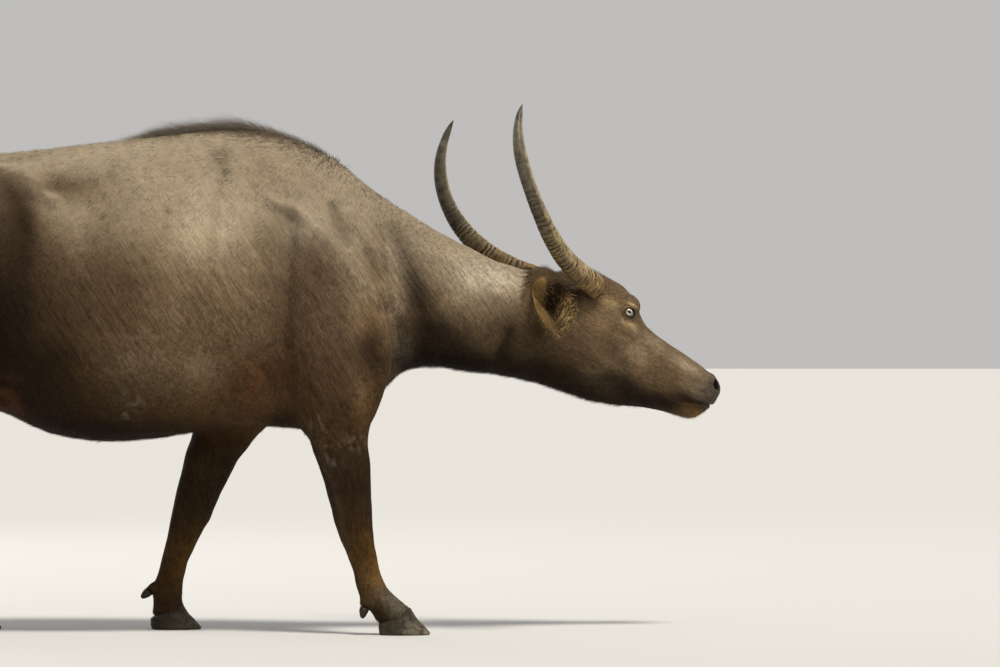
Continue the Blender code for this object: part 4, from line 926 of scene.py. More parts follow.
# Soft marks of the face in the head's frame: middle, reach, tone, share
# Jaw, behind the horn, throat and lips are painted shade, the lips over dark skin; nose bridge and nostril's wing
# are painted light; the rest are the face's own tones.
FACE_TONES_AND_PAINTED_SHADING = {
    "cheek": ((0.055, 0.085, -0.070), (0.075, 0.05, 0.055), tone(74, 56, 38), 0.75),
    "jaw": ((0.190, 0.050, -0.100), (0.060, 0.04, 0.030), tone(66, 53, 37), 0.60),
    "side of the face": ((0.250, 0.075, 0.015), (0.080, 0.04, 0.045), tone(122, 103, 80), 0.50),
    "nose bridge": ((0.395, 0.050, 0.052), (0.060, 0.04, 0.022), tone(146, 128, 106), 0.70),
    "under the eye": ((0.168, 0.090, 0.079), (0.022, 0.04, 0.010), tone(196, 162, 118), 0.85),
    "before the eye": ((0.198, 0.090, 0.094), (0.014, 0.04, 0.020), tone(124, 98, 80), 0.60),
    "crescent over the eye": ((0.159, 0.090, 0.1285), (0.016, 0.03, 0.0045), tone(190, 168, 124), 0.90),
    "brow": ((0.120, 0.090, 0.122), (0.030, 0.04, 0.014), tone(118, 97, 70), 0.60),
    "temple": ((0.088, 0.099, 0.045), (0.050, 0.04, 0.030), tone(118, 94, 66), 0.50),
    "behind the horn": ((-0.015, 0.085, 0.088), (0.040, 0.06, 0.024), tone(44, 36, 26), 0.80),
    "horn's root": ((0.096, 0.100, 0.106), (0.022, 0.03, 0.014), tone(190, 164, 118), 0.80),
    "nostril's wing": ((0.494, 0.040, 0.067), (0.010, 0.02, 0.007), tone(178, 160, 140), 0.60),
    "throat": ((-0.030, 0.060, -0.120), (0.090, 0.06, 0.040), tone(40, 29, 16), 0.70),
    "lips": ((0.425, 0.050, -0.032), (0.055, 0.04, 0.013), tone(34, 26, 20), 0.85),
}


def blend(colours, new, share):
    """Colours moved towards a new one by each point's share."""
    return colours + (new - colours) * np.clip(share, 0, 1)[:, None]


def shaded(colours, left, share):
    """Colours with only some of their light left, by each point's share. What darkens also grows warmer."""
    return colours * np.exp(math.log(left) * share[:, None] * np.array([0.92, 1.04, 1.19]))


def soft_mark(points, place, reach, lean):
    """1 at a photo pixel as seen from the side, fading out over an ellipse that leans by some degrees."""
    flat = (points[:, [0, 2]] - photo_spot(*place)) / PIXEL
    turn = math.radians(lean)
    first = flat @ np.array([math.cos(turn), -math.sin(turn)]) / reach[0]
    second = flat @ np.array([math.sin(turn), math.cos(turn)]) / reach[1]
    return np.exp(-(first**2) - second**2)


def round_mark(points, across, down, reach):
    """1 at a photo pixel as seen from the side, fading out over its reach in metres."""
    spot = photo_spot(across, down)
    return np.exp(-(((points[:, 0] - spot[0]) ** 2 + (points[:, 2] - spot[1]) ** 2) / reach**2))


PASTERN_MIDDLE, PASTERN_REACH = (396, 606), (22, 20)
# Places in photo pixels and reaches in metres
RED_FOLDS = ((258, 384, 0.085), (4, 401, 0.060), (20, 455, 0.05))
DARK_SPOTS = ((223, 158, 0.022), (228, 174, 0.014), (66, 179, 0.010), (173, 213, 0.008), (110, 218, 0.008))
MUD_SPOTS = ((321, 421, 0.030), (334, 452, 0.032), (357, 440, 0.026), (150, 352, 0.045), (135, 405, 0.04))


def hide_colour(points, normals, owner):
    """The hide's colour at each point, before the fine hair streaks, with painted shade and painted light in it."""
    x, z = points[:, 0], points[:, 2]
    wave = 0.05 * ripple(points, 0.45, 3) + 0.03 * ripple(points, 0.16, 4)
    colours = np.tile(BELLY_BROWN, (len(points), 1))
    colours = blend(colours, FLANK_BROWN, ramp(z + wave, 0.62, 0.92))
    colours = blend(colours, BACK_TAN, ramp(z + wave, 0.90, 1.22))
    flank = on_flank(points, normals)
    head, neck = in_regions(owner, "head"), in_regions(owner, "neck")
    shade = np.zeros(len(points))
    for line, reach, _, tint in TRUNK_FOLDS:
        shade += tint * near_line(points, line, reach * 1.2)
    shade *= flank * (1 - head)
    # The neck: pale above, dark along its underside and just before the shoulder, partly as painted shade
    face = into_head(points)
    up_neck = z - (0.86 - 0.10 * ramp(x, 0.35, 0.85))
    colours = blend(colours, NECK_DARK, neck * ramp(-up_neck + wave, -0.02, 0.14))
    colours = blend(colours, BACK_TAN, neck * ramp(up_neck + wave, 0.04, 0.16))
    # The head: grey-brown, darker towards the jaw
    face_brown = blend(np.tile(FLANK_BROWN, (len(points), 1)), NECK_DARK, ramp(-face[:, 2] + wave, 0.02, 0.10))
    colours = blend(colours, face_brown, head)
    # The legs
    legs = in_regions(owner, *LEGS)
    colours = blend(colours, LEG_BROWN, legs * ramp(0.62 - z + wave, 0.0, 0.14))
    shank = hill(points, (0, 0, 0.19), (9, 9, 0.085)) * (0.45 + 0.55 * ramp(normals[:, 0], -0.1, 0.8))
    colours = blend(colours, SHANK_ORANGE, 0.6 * legs * shank * (0.8 + 0.25 * ripple(points, 0.045, 9)))
    # The hide's own tones, with painted shade in hollows and under the body and painted light on sunlit parts
    for place, reach, lean, mark_tone, share in BODY_TONES_AND_PAINTED_SHADING.values():
        colours = blend(colours, mark_tone, share * soft_mark(points, place, reach, lean) * flank * (1 - head))
    # Painted light along the ridges of the relief and painted shade along its furrows
    colours = blend(colours, BACK_TAN, np.clip(shade, 0, 1) * 0.42)
    colours = blend(colours, NECK_DARK, np.clip(-shade, 0, 1) * 0.45)
    # Painted shade and painted light over the body, on the faces that don't look up
    side_on = (1 - head) * (1 - ramp(normals[:, 2], 0.55, 0.95)) * (1 - in_regions(owner, *EARS))
    for place, reach, lean, left in BODY_PAINTED_SHADING.values():
        colours = shaded(colours, left, side_on * soft_mark(points, place, reach, lean))
    # Red skin in the folds
    for mark in RED_FOLDS:
        red = 0.50 * round_mark(points, *mark) * (1 - legs)
        colours = blend(colours, RED_FOLD, red * (0.75 + 0.5 * ripple(points, 0.05, 12)))
    # Marks: dark spots on the back, dried mud on the forearm and pale scurf low on the flank
    for mark in DARK_SPOTS:
        colours = blend(colours, NECK_DARK, 0.7 * round_mark(points, *mark) * flank)
    mud = sum(round_mark(points, *mark) for mark in MUD_SPOTS)
    colours = blend(colours, MUD_GREY, 0.45 * np.clip(mud, 0, 1) * ramp(ripple(points, 0.020, 14), 0.0, 0.9))
    pastern = soft_mark(points, PASTERN_MIDDLE, PASTERN_REACH, 0) * ramp(normals[:, 0], -0.5, 0.4)
    colours = blend(colours, PASTERN_GREY, 0.70 * legs * pastern * (points[:, 1] < MIDDLE.y))
    return colour_face(colours, points, normals, face, owner)


def colour_face(colours, points, normals, face, owner):
    """Adds the bare muzzle, tan hair round eye, horn and chin, the ears' colours, and the face's painted shade and
    light.
    """
    head = in_regions(owner, "head")
    sided = either_side(face)
    along, up = face[:, 0], face[:, 2]
    colours = blend(colours, MUZZLE_GREY, head * ramp(along, 0.38, 0.47))
    # The face's own tones, with painted shade and painted light among them
    for middle, reach, mark_tone, share in FACE_TONES_AND_PAINTED_SHADING.values():
        colours = blend(colours, mark_tone, share * head * hill(sided, middle, reach))
    # Painted shade and painted light over the face
    for along_middle, up_middle, long, high, left in FACE_PAINTED_SHADING.values():
        share = np.exp(-(((along - along_middle) / long) ** 2) - ((up - up_middle) / high) ** 2)
        colours = shaded(colours, left, head * share)
    flecks = hill(sided, (0.415, 0.035, 0.085), (0.045, 0.03, 0.022)) * ramp(ripple(points, 0.007, 21), 0.3, 0.9)
    colours = blend(colours, STRAW, 0.55 * head * flecks)
    # The chin's tan hair, made paler than its own tone as painted light for the light thrown up from the ground
    chin = hill(sided, (0.474, 0.0, -0.056), (0.045, 0.06, 0.018))
    colours = blend(colours, CHIN_TAN, 0.75 * head * chin)
    for side in SIDES.values():
        hole, _ = nostril_depth(points, side)
        # The nostrils painted near black: dark skin deepened to black as painted shade in the hole
        colours = blend(colours, tone(5, 4, 3), head * np.clip(hole * 4.0, 0, 1))
        edge, _, _ = almond(points, side)
        colours = blend(colours, tone(20, 14, 10), head * (1 - ramp(edge, 1.10, 1.48)))
    return colour_ears(colours, points, normals, in_regions(owner, *EARS))


def colour_ears(colours, points, normals, ears):
    """Brown backs, a thin tan rim, golden hair up the rear wall, and a nearly black cup that is partly painted
    shade.
    """
    along, across, _, side = ear_places(points)
    facing = (normals * ear_way(2, side)).sum(axis=1)
    inside = ears * ramp(facing, 0.0, 0.35)
    colours = blend(colours, tone(98, 80, 58), ears * 0.9)
    colours = blend(colours, tone(58, 42, 24), inside)
    rear_hair = 0.62 * inside * ramp(-across, 0.006, 0.026) * (1 - ramp(along, 0.7, 0.95))
    colours = blend(colours, tone(164, 126, 72), rear_hair)
    # The deep cup painted nearly black: dark bare skin and painted shade under the front rim
    deep = np.exp(-(((along - 0.34) / 0.24) ** 2) - ((across - 0.004) / 0.022) ** 2)
    colours = blend(colours, tone(26, 15, 8), 0.95 * inside * deep)
    rim = ears * np.exp(-((facing / 0.30) ** 2)) * ramp(np.abs(across), 0.020, 0.034)
    return blend(colours, tone(178, 146, 96), 0.80 * rim)


def bareness(points, owner):
    """1 where the skin is bare and a little wet, as on the muzzle and round the eyes."""
    face = into_head(points)
    head = in_regions(owner, "head")
    sided = either_side(face)
    muzzle = ramp(face[:, 0], 0.44, 0.49) * ramp(face[:, 2], -0.035, -0.02)
    lids = hill(sided, (0.158, 0.102, 0.104), (0.020, 0.03, 0.017))
    holes = sum(nostril_depth(points, side)[0] for side in SIDES.values())
    return head * np.clip(muzzle + lids, 0, 1) * (1 - np.clip(2 * holes, 0, 1))


def streakiness(points):
    """How strongly the hair's streaks show: fully low on the animal, little on the smooth dusty back."""
    return 0.88 - 0.50 * ramp(points[:, 2], 0.90, 1.15)


def store(mesh, name, values, kind="FLOAT"):
    """Keeps a value, or a colour, with each point of the mesh."""
    layer = mesh.attributes.new(name, kind, "POINT")
    if kind == "FLOAT_COLOR":
        values = np.hstack([values, np.ones((len(values), 1))])
        layer.data.foreach_set("color", values.astype(np.float32).ravel())
    else:
        layer.data.foreach_set("value", values.astype(np.float32))


skin_colour = hide_colour(skin_points, skin_normals, skin_owner)
store(skin.data, "hide_colour", skin_colour, "FLOAT_COLOR")
store(skin.data, "bare", bareness(skin_points, skin_owner))
store(skin.data, "streaky", streakiness(skin_points))
store(skin.data, "on_head", in_regions(skin_owner, "head", *EARS))
store(skin.data, "on_leg", in_regions(skin_owner, *LEGS))
print("mean hide colour:", skin_colour.mean(0).round(3))


# %% [markdown]
# ## Finishes
#
# Short hair that lies flat is drawn as streaks: a noise stretched along the lie of the coat, darker between the
# hairs and raised along them. Skin, hair, horn and hooves all need some of it, so the streaks and the grain are
# node groups. The Principled shader itself stays in each material.

# %% Node helpers and groups
def add_node(tree, kind, settings, inputs):
    """One shader node. Inputs are numbers, colours or other sockets, by name or by place."""
    made = tree.nodes.new(kind)
    for name, value in settings.items():
        setattr(made, name, value)
    for key, value in inputs.items():
        if isinstance(value, bpy.types.NodeSocket):
            tree.links.new(value, made.inputs[key])
        else:
            made.inputs[key].default_value = value
    return made


def stored(tree, name, output="Fac"):
    """What is stored with the mesh's points under this name."""
    return add_node(tree, "ShaderNodeAttribute", {"attribute_name": name}, {}).outputs[output]


def remap(tree, value, low, high, start, end):
    """A value moved from one range to another and held at both ends."""
    return add_node(tree, "ShaderNodeMapRange", {}, {0: value, 1: low, 2: high, 3: start, 4: end}).outputs[0]


def reckon(tree, operation, one, two):
    """One step of arithmetic on two values."""
    return add_node(tree, "ShaderNodeMath", {"operation": operation}, {0: one, 1: two}).outputs[0]


def mix_values(tree, share, one, two):
    """The second value by its share, the first by the rest."""
    return add_node(tree, "ShaderNodeMix", {}, {0: share, 2: one, 3: two}).outputs[0]


def mix_colours(tree, share, one, two):
    """The second colour by its share, the first by the rest."""
    return add_node(tree, "ShaderNodeMix", {"data_type": "RGBA"}, {0: share, 6: one, 7: two}).outputs[2]


def lit(tree, colour, strength):
    """A colour made lighter or darker by a strength."""
    inputs = {0: colour, "Scale": strength}
    return add_node(tree, "ShaderNodeVectorMath", {"operation": "SCALE"}, inputs).outputs[0]


def raised(tree, height, strength, distance, under=None):
    """A normal that follows this height, over another normal where one is given."""
    inputs = {"Strength": strength, "Distance": distance, "Height": height}
    if under is not None:
        inputs["Normal"] = under
    return add_node(tree, "ShaderNodeBump", {}, inputs).outputs[0]


def paint(red, green, blue):
    """A screen colour as a shader's colour."""
    return (*tone(red, green, blue), 1)


def colour_steps(tree, value, steps):
    """A colour ramp with these (place, colour) steps."""
    made = add_node(tree, "ShaderNodeValToRGB", {}, {0: value})
    marks = made.color_ramp.elements
    (marks[0].position, marks[0].color), (marks[1].position, marks[1].color) = steps[0], steps[-1]
    for at, colour in steps[1:-1]:
        marks.new(at).color = colour
    return made.outputs[0]


def new_group(name, inputs, outputs):
    """An empty node group with these named inputs and outputs."""
    tree = bpy.data.node_groups.new(name, "ShaderNodeTree")
    for label, kind, value in inputs:
        socket = tree.interface.new_socket(label, in_out="INPUT", socket_type=kind)
        if value is not None:
            socket.default_value = value
    for label, kind in outputs:
        tree.interface.new_socket(label, in_out="OUTPUT", socket_type=kind)
    return tree, tree.nodes.new("NodeGroupInput"), tree.nodes.new("NodeGroupOutput")


def streak_group():
    """Hair streaks: height and shade from two stretched noises, one fine and one broad."""
    tree, start, end = new_group(
        "hair_streaks",
        [("Vector", "NodeSocketVector", None), ("Fineness", "NodeSocketFloat", 1.0)],
        [("Height", "NodeSocketFloat"), ("Shade", "NodeSocketFloat")],
    )
    fine_noise = {"Vector": start.outputs[0], "Scale": start.outputs[1], "Detail": 3.0, "Roughness": 0.6}
    fine = add_node(tree, "ShaderNodeTexNoise", {}, fine_noise).outputs[0]
    broad_scale = reckon(tree, "MULTIPLY", start.outputs[1], 0.31)
    broad_noise = {"Vector": start.outputs[0], "Scale": broad_scale, "Detail": 2.0}
    broad = add_node(tree, "ShaderNodeTexNoise", {}, broad_noise).outputs[0]
    mixed = mix_values(tree, 0.35, fine, broad)
    tree.links.new(mixed, end.inputs[0])
    tree.links.new(remap(tree, mixed, 0.36, 0.64, 0.0, 1.0), end.inputs[1])
    return tree


def grain_group():
    """Skin grain: pores and cracks from a cell pattern, with blotches of a slow noise."""
    tree, start, end = new_group(
        "skin_grain",
        [
            ("Vector", "NodeSocketVector", None),
            ("Cell Scale", "NodeSocketFloat", 260.0),
            ("Blotch Scale", "NodeSocketFloat", 14.0),
        ],
        [("Height", "NodeSocketFloat"), ("Blotches", "NodeSocketFloat")],
    )
    cell_inputs = {"Vector": start.outputs[0], "Scale": start.outputs[1]}
    cells = add_node(tree, "ShaderNodeTexVoronoi", {"feature": "DISTANCE_TO_EDGE"}, cell_inputs)
    blotch_noise = {"Vector": start.outputs[0], "Scale": start.outputs[2], "Detail": 5.0, "Roughness": 0.62}
    blotch = add_node(tree, "ShaderNodeTexNoise", {}, blotch_noise).outputs[0]
    tree.links.new(remap(tree, cells.outputs["Distance"], 0.0, 0.25, 0.0, 1.0), end.inputs[0])
    tree.links.new(remap(tree, blotch, 0.33, 0.67, 0.0, 1.0), end.inputs[1])
    return tree


STREAKS = streak_group()
GRAIN = grain_group()


def place_group(tree, group, inputs):
    """This node group in a material."""
    made = tree.nodes.new("ShaderNodeGroup")
    made.node_tree = group
    for name, value in inputs.items():
        if isinstance(value, bpy.types.NodeSocket):
            tree.links.new(value, made.inputs[name])
        else:
            made.inputs[name].default_value = value
    return made


def new_finish(name, roughness, specular=0.5):
    """A material with its Principled shader, and its node tree."""
    finish = bpy.data.materials.new(name)
    finish.use_nodes = True
    shader = finish.node_tree.nodes["Principled BSDF"]
    shader.inputs["Roughness"].default_value = roughness
    shader.inputs["Specular IOR Level"].default_value = specular
    return finish, finish.node_tree, shader


def streaks_along(tree, coordinates, turn, long, across):
    """The hair streaks turned into the lie of the coat and stretched along it: height and shade."""
    mapping = tree.nodes.new("ShaderNodeMapping")
    mapping.vector_type = "TEXTURE"
    mapping.inputs["Rotation"].default_value = turn
    mapping.inputs["Scale"].default_value = (long, across, across)
    tree.links.new(coordinates, mapping.inputs["Vector"])
    return place_group(tree, STREAKS, {"Vector": mapping.outputs["Vector"], "Fineness": 1.0}).outputs


# %% The hide's finish
# How dark and how light the streaks, the slow blotches and the small mottle make the hair
STREAK_LIGHT = (0.58, 1.46)
BLOTCH_LIGHT = (0.84, 1.14)
MOTTLE_LIGHT = (0.84, 1.18)
# The lie of the streaks: turn, length and breadth
BODY_STREAKS = ((0, math.radians(58), 0), 0.040, 0.0034)
LEG_STREAKS = ((0, math.radians(86), 0), 0.018, 0.0034)
HEAD_STREAKS = ((math.radians(-3), math.radians(30), math.radians(20)), 0.012, 0.0027)


def hide_finish():
    """Grey-brown hide: the stored colour, hair streaks along the coat's lie, grain, and a wet bare muzzle."""
    finish, tree, shader = new_finish("hide", 0.7, 0.08)
    coordinates = tree.nodes.new("ShaderNodeTexCoord").outputs["Object"]
    on_head, on_leg = stored(tree, "on_head"), stored(tree, "on_leg")
    body = streaks_along(tree, coordinates, *BODY_STREAKS)
    leg = streaks_along(tree, coordinates, *LEG_STREAKS)
    head = streaks_along(tree, coordinates, *HEAD_STREAKS)
    height, shade = (
        mix_values(tree, on_head, mix_values(tree, on_leg, body[k], leg[k]), head[k]) for k in range(2)
    )
    grain = place_group(tree, GRAIN, {"Vector": coordinates, "Cell Scale": 240.0, "Blotch Scale": 16.0}).outputs
    mottle = place_group(tree, GRAIN, {"Vector": coordinates, "Cell Scale": 120.0, "Blotch Scale": 95.0}).outputs
    light = remap(tree, shade, 0.0, 1.0, *STREAK_LIGHT)
    blotchy = remap(tree, grain[1], 0.0, 1.0, *BLOTCH_LIGHT)
    mottled = remap(tree, mottle[1], 0.0, 1.0, *MOTTLE_LIGHT)
    strength = reckon(tree, "MULTIPLY", light, reckon(tree, "MULTIPLY", mottled, blotchy))
    eased = mix_values(tree, stored(tree, "streaky"), 1.0, strength)
    tree.links.new(lit(tree, stored(tree, "hide_colour", "Color"), eased), shader.inputs["Base Color"])
    tree.links.new(remap(tree, stored(tree, "bare"), 0.0, 1.0, 0.72, 0.38), shader.inputs["Roughness"])
    hairs = raised(tree, height, 0.75, 0.005)
    tree.links.new(raised(tree, grain[0], 0.25, 0.0012, hairs), shader.inputs["Normal"])
    return finish


HIDE = hide_finish()
skin.data.materials.append(HIDE)
print("hide finish:", len(HIDE.node_tree.nodes), "nodes")

# %% [markdown]
# ## The horns
#
# A buffalo's horn is a long flattened cone with close ridges round its lower half, one for each spell of growth,
# and a smooth tip. A grid wrapped round the horn's middle line gives even faces to raise the ridges from.

# %% Wrap a grid round a line
def wrapped_grid(rows, columns, place):
    """A closed tube from a grid: place(along, round) gives each point, with both shares from 0 to 1."""
    bm = bmesh.new()
    bmesh.ops.create_grid(bm, x_segments=columns, y_segments=rows, size=0.5)
    for vert in bm.verts:
        vert.co = place(vert.co.y + 0.5, vert.co.x + 0.5)
    bmesh.ops.remove_doubles(bm, verts=bm.verts, dist=0.00003)
    bmesh.ops.recalc_face_normals(bm, faces=bm.faces)
    return bm


HORN_BASE = Vector((0.0625, 0.0856, 0.1385))
HORN_LENGTH = 0.717
HORN_BACKWARD = (61.7, -62.8, 70.3, 116.5)
HORN_UPWARD = (-3.2, -11.6, 196.9, -107.9)
# Half the horn's width by its share of the length. It begins inside the skull, where the share is below 0
HORN_ROOT = 0.06
HORN_HALF_WIDTHS = (
    (-0.06, 0.0100), (-0.045, 0.0225), (-0.02, 0.0292), (0.0, 0.0314), (0.1, 0.0320), (0.3, 0.0296),
    (0.5, 0.0260), (0.65, 0.0212), (0.8, 0.0168), (0.9, 0.0116), (0.97, 0.0062), (1.0, 0.0004),
)
HORN_FLATNESS = ((-0.06, 0.74), (0.0, 0.74), (0.15, 0.70), (0.4, 0.70), (0.6, 0.76), (0.8, 0.98), (1.0, 1.0))
HORN_TWIST = math.radians(20.0)
HORN_DROP = Vector((0.002, 0.0, 0.0100))
HORN_DROP_END = 0.25
HORN_ROWS = 300
HORN_STEP = (1 + HORN_ROOT) / HORN_ROWS
HORN_ROUNDNESS = 0.87
SMOOTH_HORN = 0.6
RIDGE_SPACING, RIDGE_LIFT, FURROW_WIDTH = 0.0148, 0.0034, 0.24


def read_curve(pairs, at):
    """A value read from (place, value) pairs along a smooth curve."""
    xs, ys = np.array(pairs).T
    slopes = np.gradient(ys, xs)
    k = int(np.clip(np.searchsorted(xs, at, side="right") - 1, 0, len(xs) - 2))
    width = xs[k + 1] - xs[k]
    t = np.clip((at - xs[k]) / width, 0, 1)
    return float(
        (2 * t**3 - 3 * t**2 + 1) * ys[k] + (t**3 - 2 * t**2 + t) * width * slopes[k]
        + (3 * t**2 - 2 * t**3) * ys[k + 1] + (t**3 - t**2) * width * slopes[k + 1]
    )


def horn_direction(share):
    """The horn's direction in the head's frame at a share of its length."""
    share = max(share, 0.0)
    back = math.radians(sum(value * share**power for power, value in enumerate(HORN_BACKWARD)))
    lift = math.radians(sum(value * share**power for power, value in enumerate(HORN_UPWARD)))
    return Vector((-math.cos(lift) * math.sin(back), math.cos(lift) * math.cos(back), math.sin(lift)))


def horn_stations(side):
    """Share, middle, direction, narrow way and wide way at each row, from inside the skull to the tip."""
    point = HORN_BASE - horn_direction(0) * HORN_ROOT * HORN_LENGTH
    flat = None
    stations = []
    for i in range(HORN_ROWS + 1):
        share = i * HORN_STEP - HORN_ROOT
        along = turn_from_head(horn_direction(share), side)
        if flat is None:
            flat = turn_from_head((0, 0, 1)).cross(along).normalized()
        flat = (flat - along * flat.dot(along)).normalized()
        turn = Matrix.Rotation(-HORN_TWIST * side, 3, along)
        lowered = point - HORN_DROP * (1 - min(1.0, max(0.0, share) / HORN_DROP_END)) ** 2
        stations.append((share, from_head(lowered, side), along, turn @ flat, turn @ along.cross(flat)))
        point = point + horn_direction(share + HORN_STEP / 2) * HORN_LENGTH * HORN_STEP
    return stations


def ridge_height(share, angle, seed):
    """How high the keratin stands: 1 on the ridges, 0 in the narrow furrows between them, 0.6 where smooth."""
    slant = share * HORN_LENGTH + 0.0042 * math.sin(angle + seed) + 0.0018 * math.sin(3 * angle + 2.1 * seed)
    slant += 0.0016 * math.sin(5 * angle + 120 * share) + 0.0008 * math.sin(11 * angle + 260 * share)
    phase = slant / RIDGE_SPACING + 0.40 * math.sin(slant * 41 + seed) + 0.18 * math.sin(slant * 113 + 2 * seed)
    from_furrow = abs(phase - math.floor(phase) - 0.5)
    depth = 0.60 + 0.40 * math.sin(slant * 71 + 1.3 * angle + 2 * seed)
    furrow = math.exp(-((from_furrow / FURROW_WIDTH) ** 2)) * depth
    fade = max(0.0, min(1.0, (0.70 - share) / 0.30)) * max(0.0, min(1.0, (share + 0.01) / 0.04))
    return SMOOTH_HORN + (1 - SMOOTH_HORN - furrow) * fade


def make_horn(name, side):
    """One horn, with its ridges as shape and as a stored value for the finish."""
    stations = horn_stations(side)
    sides = 40

    def place(along, around):
        share, middle, _, narrow, wide = stations[round(along * HORN_ROWS)]
        angle = 2 * math.pi * around
        half = read_curve(HORN_HALF_WIDTHS, share)
        flat = read_curve(HORN_FLATNESS, share)
        across, rise = math.cos(angle), math.sin(angle)
        across = math.copysign(abs(across) ** HORN_ROUNDNESS, across)
        rise = math.copysign(abs(rise) ** HORN_ROUNDNESS, rise)
        lift = RIDGE_LIFT * (ridge_height(share, angle, 1.7 + side) - SMOOTH_HORN)
        closed = 0.0 if along <= 0 else 1.0
        return middle + (narrow * across * (half * flat + lift) + wide * rise * (half + lift)) * closed

    bm = wrapped_grid(HORN_ROWS, sides, place)
    horn = add_object(name, mesh_from(bm, name))
    shade_smooth(horn)
    line = np.array([station[1] for station in stations])
    wide_way = np.array([station[4] for station in stations])
    narrow_way = np.array([station[3] for station in stations])
    points = read_points(horn.data)
    nearest = np.empty(len(points), int)
    for start in range(0, len(points), 2000):
        gaps = points[start:start + 2000, None] - line[None]
        nearest[start:start + 2000] = np.argmin((gaps**2).sum(axis=2), axis=1)
    shares = nearest * (1 + HORN_ROOT) / HORN_ROWS - HORN_ROOT
    out = points - line[nearest]
    angles = np.arctan2((out * wide_way[nearest]).sum(1), (out * narrow_way[nearest]).sum(1))
    ridges = np.array([ridge_height(s, a, 1.7 + side) for s, a in zip(shares, angles)])
    store(horn.data, "along", shares)
    store(horn.data, "ridge", ridges)
    # The side that faces the sun, where the finish paints a pale highlight
    front = read_normals(horn.data) @ np.array(turn_from_head((0.75, 0.0, 0.66)))
    past_root = ramp(shares + 0.04 * ripple(points, 0.05, 61), -0.02, 0.10)
    store(horn.data, "front", ramp(front, 0.30, 0.80) * past_root)
    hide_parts(name)
    horn.name = name + "_keratin"
    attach(horn, "root")
    return horn


# %% The horns' finish
HORN_TONES = (
    (0.0, paint(106, 78, 40)),
    (0.20, paint(100, 78, 42)),
    (0.42, paint(88, 74, 46)),
    (0.58, paint(60, 52, 37)),
    (0.74, paint(86, 80, 66)),
    (0.90, paint(96, 90, 78)),
    (1.0, paint(50, 44, 38)),
)
FURROW_BROWN = paint(36, 24, 12)
PAINTED_HORN_HIGHLIGHT = paint(178, 160, 122)
WORN_KERATIN = paint(186, 172, 138)


def horn_finish():
    """Keratin: golden-brown ridges over dark furrows, dark at half length, grey above, pale worn edges, painted
    highlight.
    """
    finish, tree, shader = new_finish("horn", 0.5, 0.22)
    coordinates = tree.nodes.new("ShaderNodeTexCoord").outputs["Object"]
    along = stored(tree, "along")
    grain = place_group(tree, GRAIN, {"Vector": coordinates, "Cell Scale": 420.0, "Blotch Scale": 58.0}).outputs
    # A pale painted highlight on the side that faces the sun
    highlight_share = reckon(tree, "MULTIPLY", stored(tree, "front"), 0.62)
    sunny = mix_colours(tree, highlight_share, colour_steps(tree, along, HORN_TONES), PAINTED_HORN_HIGHLIGHT)
    ridge_share = remap(tree, stored(tree, "ridge"), 0.16, 0.66, 0.0, 1.0)
    ridged = mix_colours(tree, ridge_share, FURROW_BROWN, sunny)
    tinted = lit(tree, ridged, remap(tree, grain[1], 0.0, 1.0, 0.46, 1.44))
    sharpness = add_node(tree, "ShaderNodeNewGeometry", {}, {}).outputs["Pointiness"]
    worn = mix_colours(tree, remap(tree, sharpness, 0.51, 0.56, 0.0, 0.35), tinted, WORN_KERATIN)
    tree.links.new(worn, shader.inputs["Base Color"])
    tree.links.new(remap(tree, along, 0.4, 1.0, 0.60, 0.36), shader.inputs["Roughness"])
    tree.links.new(raised(tree, grain[1], 0.35, 0.002), shader.inputs["Normal"])
    return finish


HORN = horn_finish()
for label, side in SIDES.items():
    horn = make_horn("horn_" + label, side)
    horn.data.materials.append(HORN)
    print(horn.name, len(horn.data.polygons), "faces")

# %% [markdown]
# ## The eyes
#
# The eye is a wet ball with a bulging clear front. Seen from the side it shows a pale ring with a dark bar across
# it, the pupil, inside black rims. The distance from the eye's axis is stored with each point, so the rings are
# drawn by one colour ramp and follow the ball in every view.

# %% The eyeballs
GAZE = Vector((-0.10, 0.99, 0.06))
FRONT_LIFT, FRONT_ANGLE = 0.0010, 0.46


def make_eye(name, side):
    """An eyeball whose rings look along its gaze, with the clear front raised a little."""
    fore = eye_frame(side)[1]
    gaze = turn_from_head(GAZE, side)
    level = (fore - gaze * fore.dot(gaze)).normalized()
    upright = gaze.cross(level)
    turn = Matrix((level, upright, gaze)).transposed().to_4x4()
    bm = bmesh.new()
    bmesh.ops.create_uvsphere(bm, u_segments=64, v_segments=64, radius=EYE_RADIUS)
    middle = from_head(EYE_CENTRE, side)
    places = []
    for vert in bm.verts:
        reach = vert.co.normalized()
        tilt = math.acos(max(-1, min(1, reach.z)))
        places.append((tilt, reach.x, reach.y))
        vert.co = middle + turn @ (vert.co + reach * FRONT_LIFT * math.exp(-((tilt / FRONT_ANGLE) ** 4)))
    bmesh.ops.recalc_face_normals(bm, faces=bm.faces)
    eye = add_object(name + "_ball", mesh_from(bm, name))
    shade_smooth(eye)
    tilts, across, rise = np.array(places).T
    store(eye.data, "from_gaze", tilts)
    store(eye.data, "across", np.where(tilts < 1.5, across, 2.0))
    store(eye.data, "rise", np.where(tilts < 1.5, rise, 2.0))
    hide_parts(name)
    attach(eye, "root")
    return eye


# The rings of the eye by their angle from the gaze, from the pupil's middle to the dark rim
EYE_RINGS = (
    (0.0, paint(118, 96, 68)),
    (0.14, paint(112, 98, 76)),
    (0.24, paint(176, 166, 140)),
    (0.38, paint(214, 206, 184)),
    (0.45, paint(84, 70, 52)),
    (0.50, paint(18, 13, 10)),
    (1.0, paint(30, 22, 18)),
)
PUPIL_BLACK = paint(12, 9, 8)


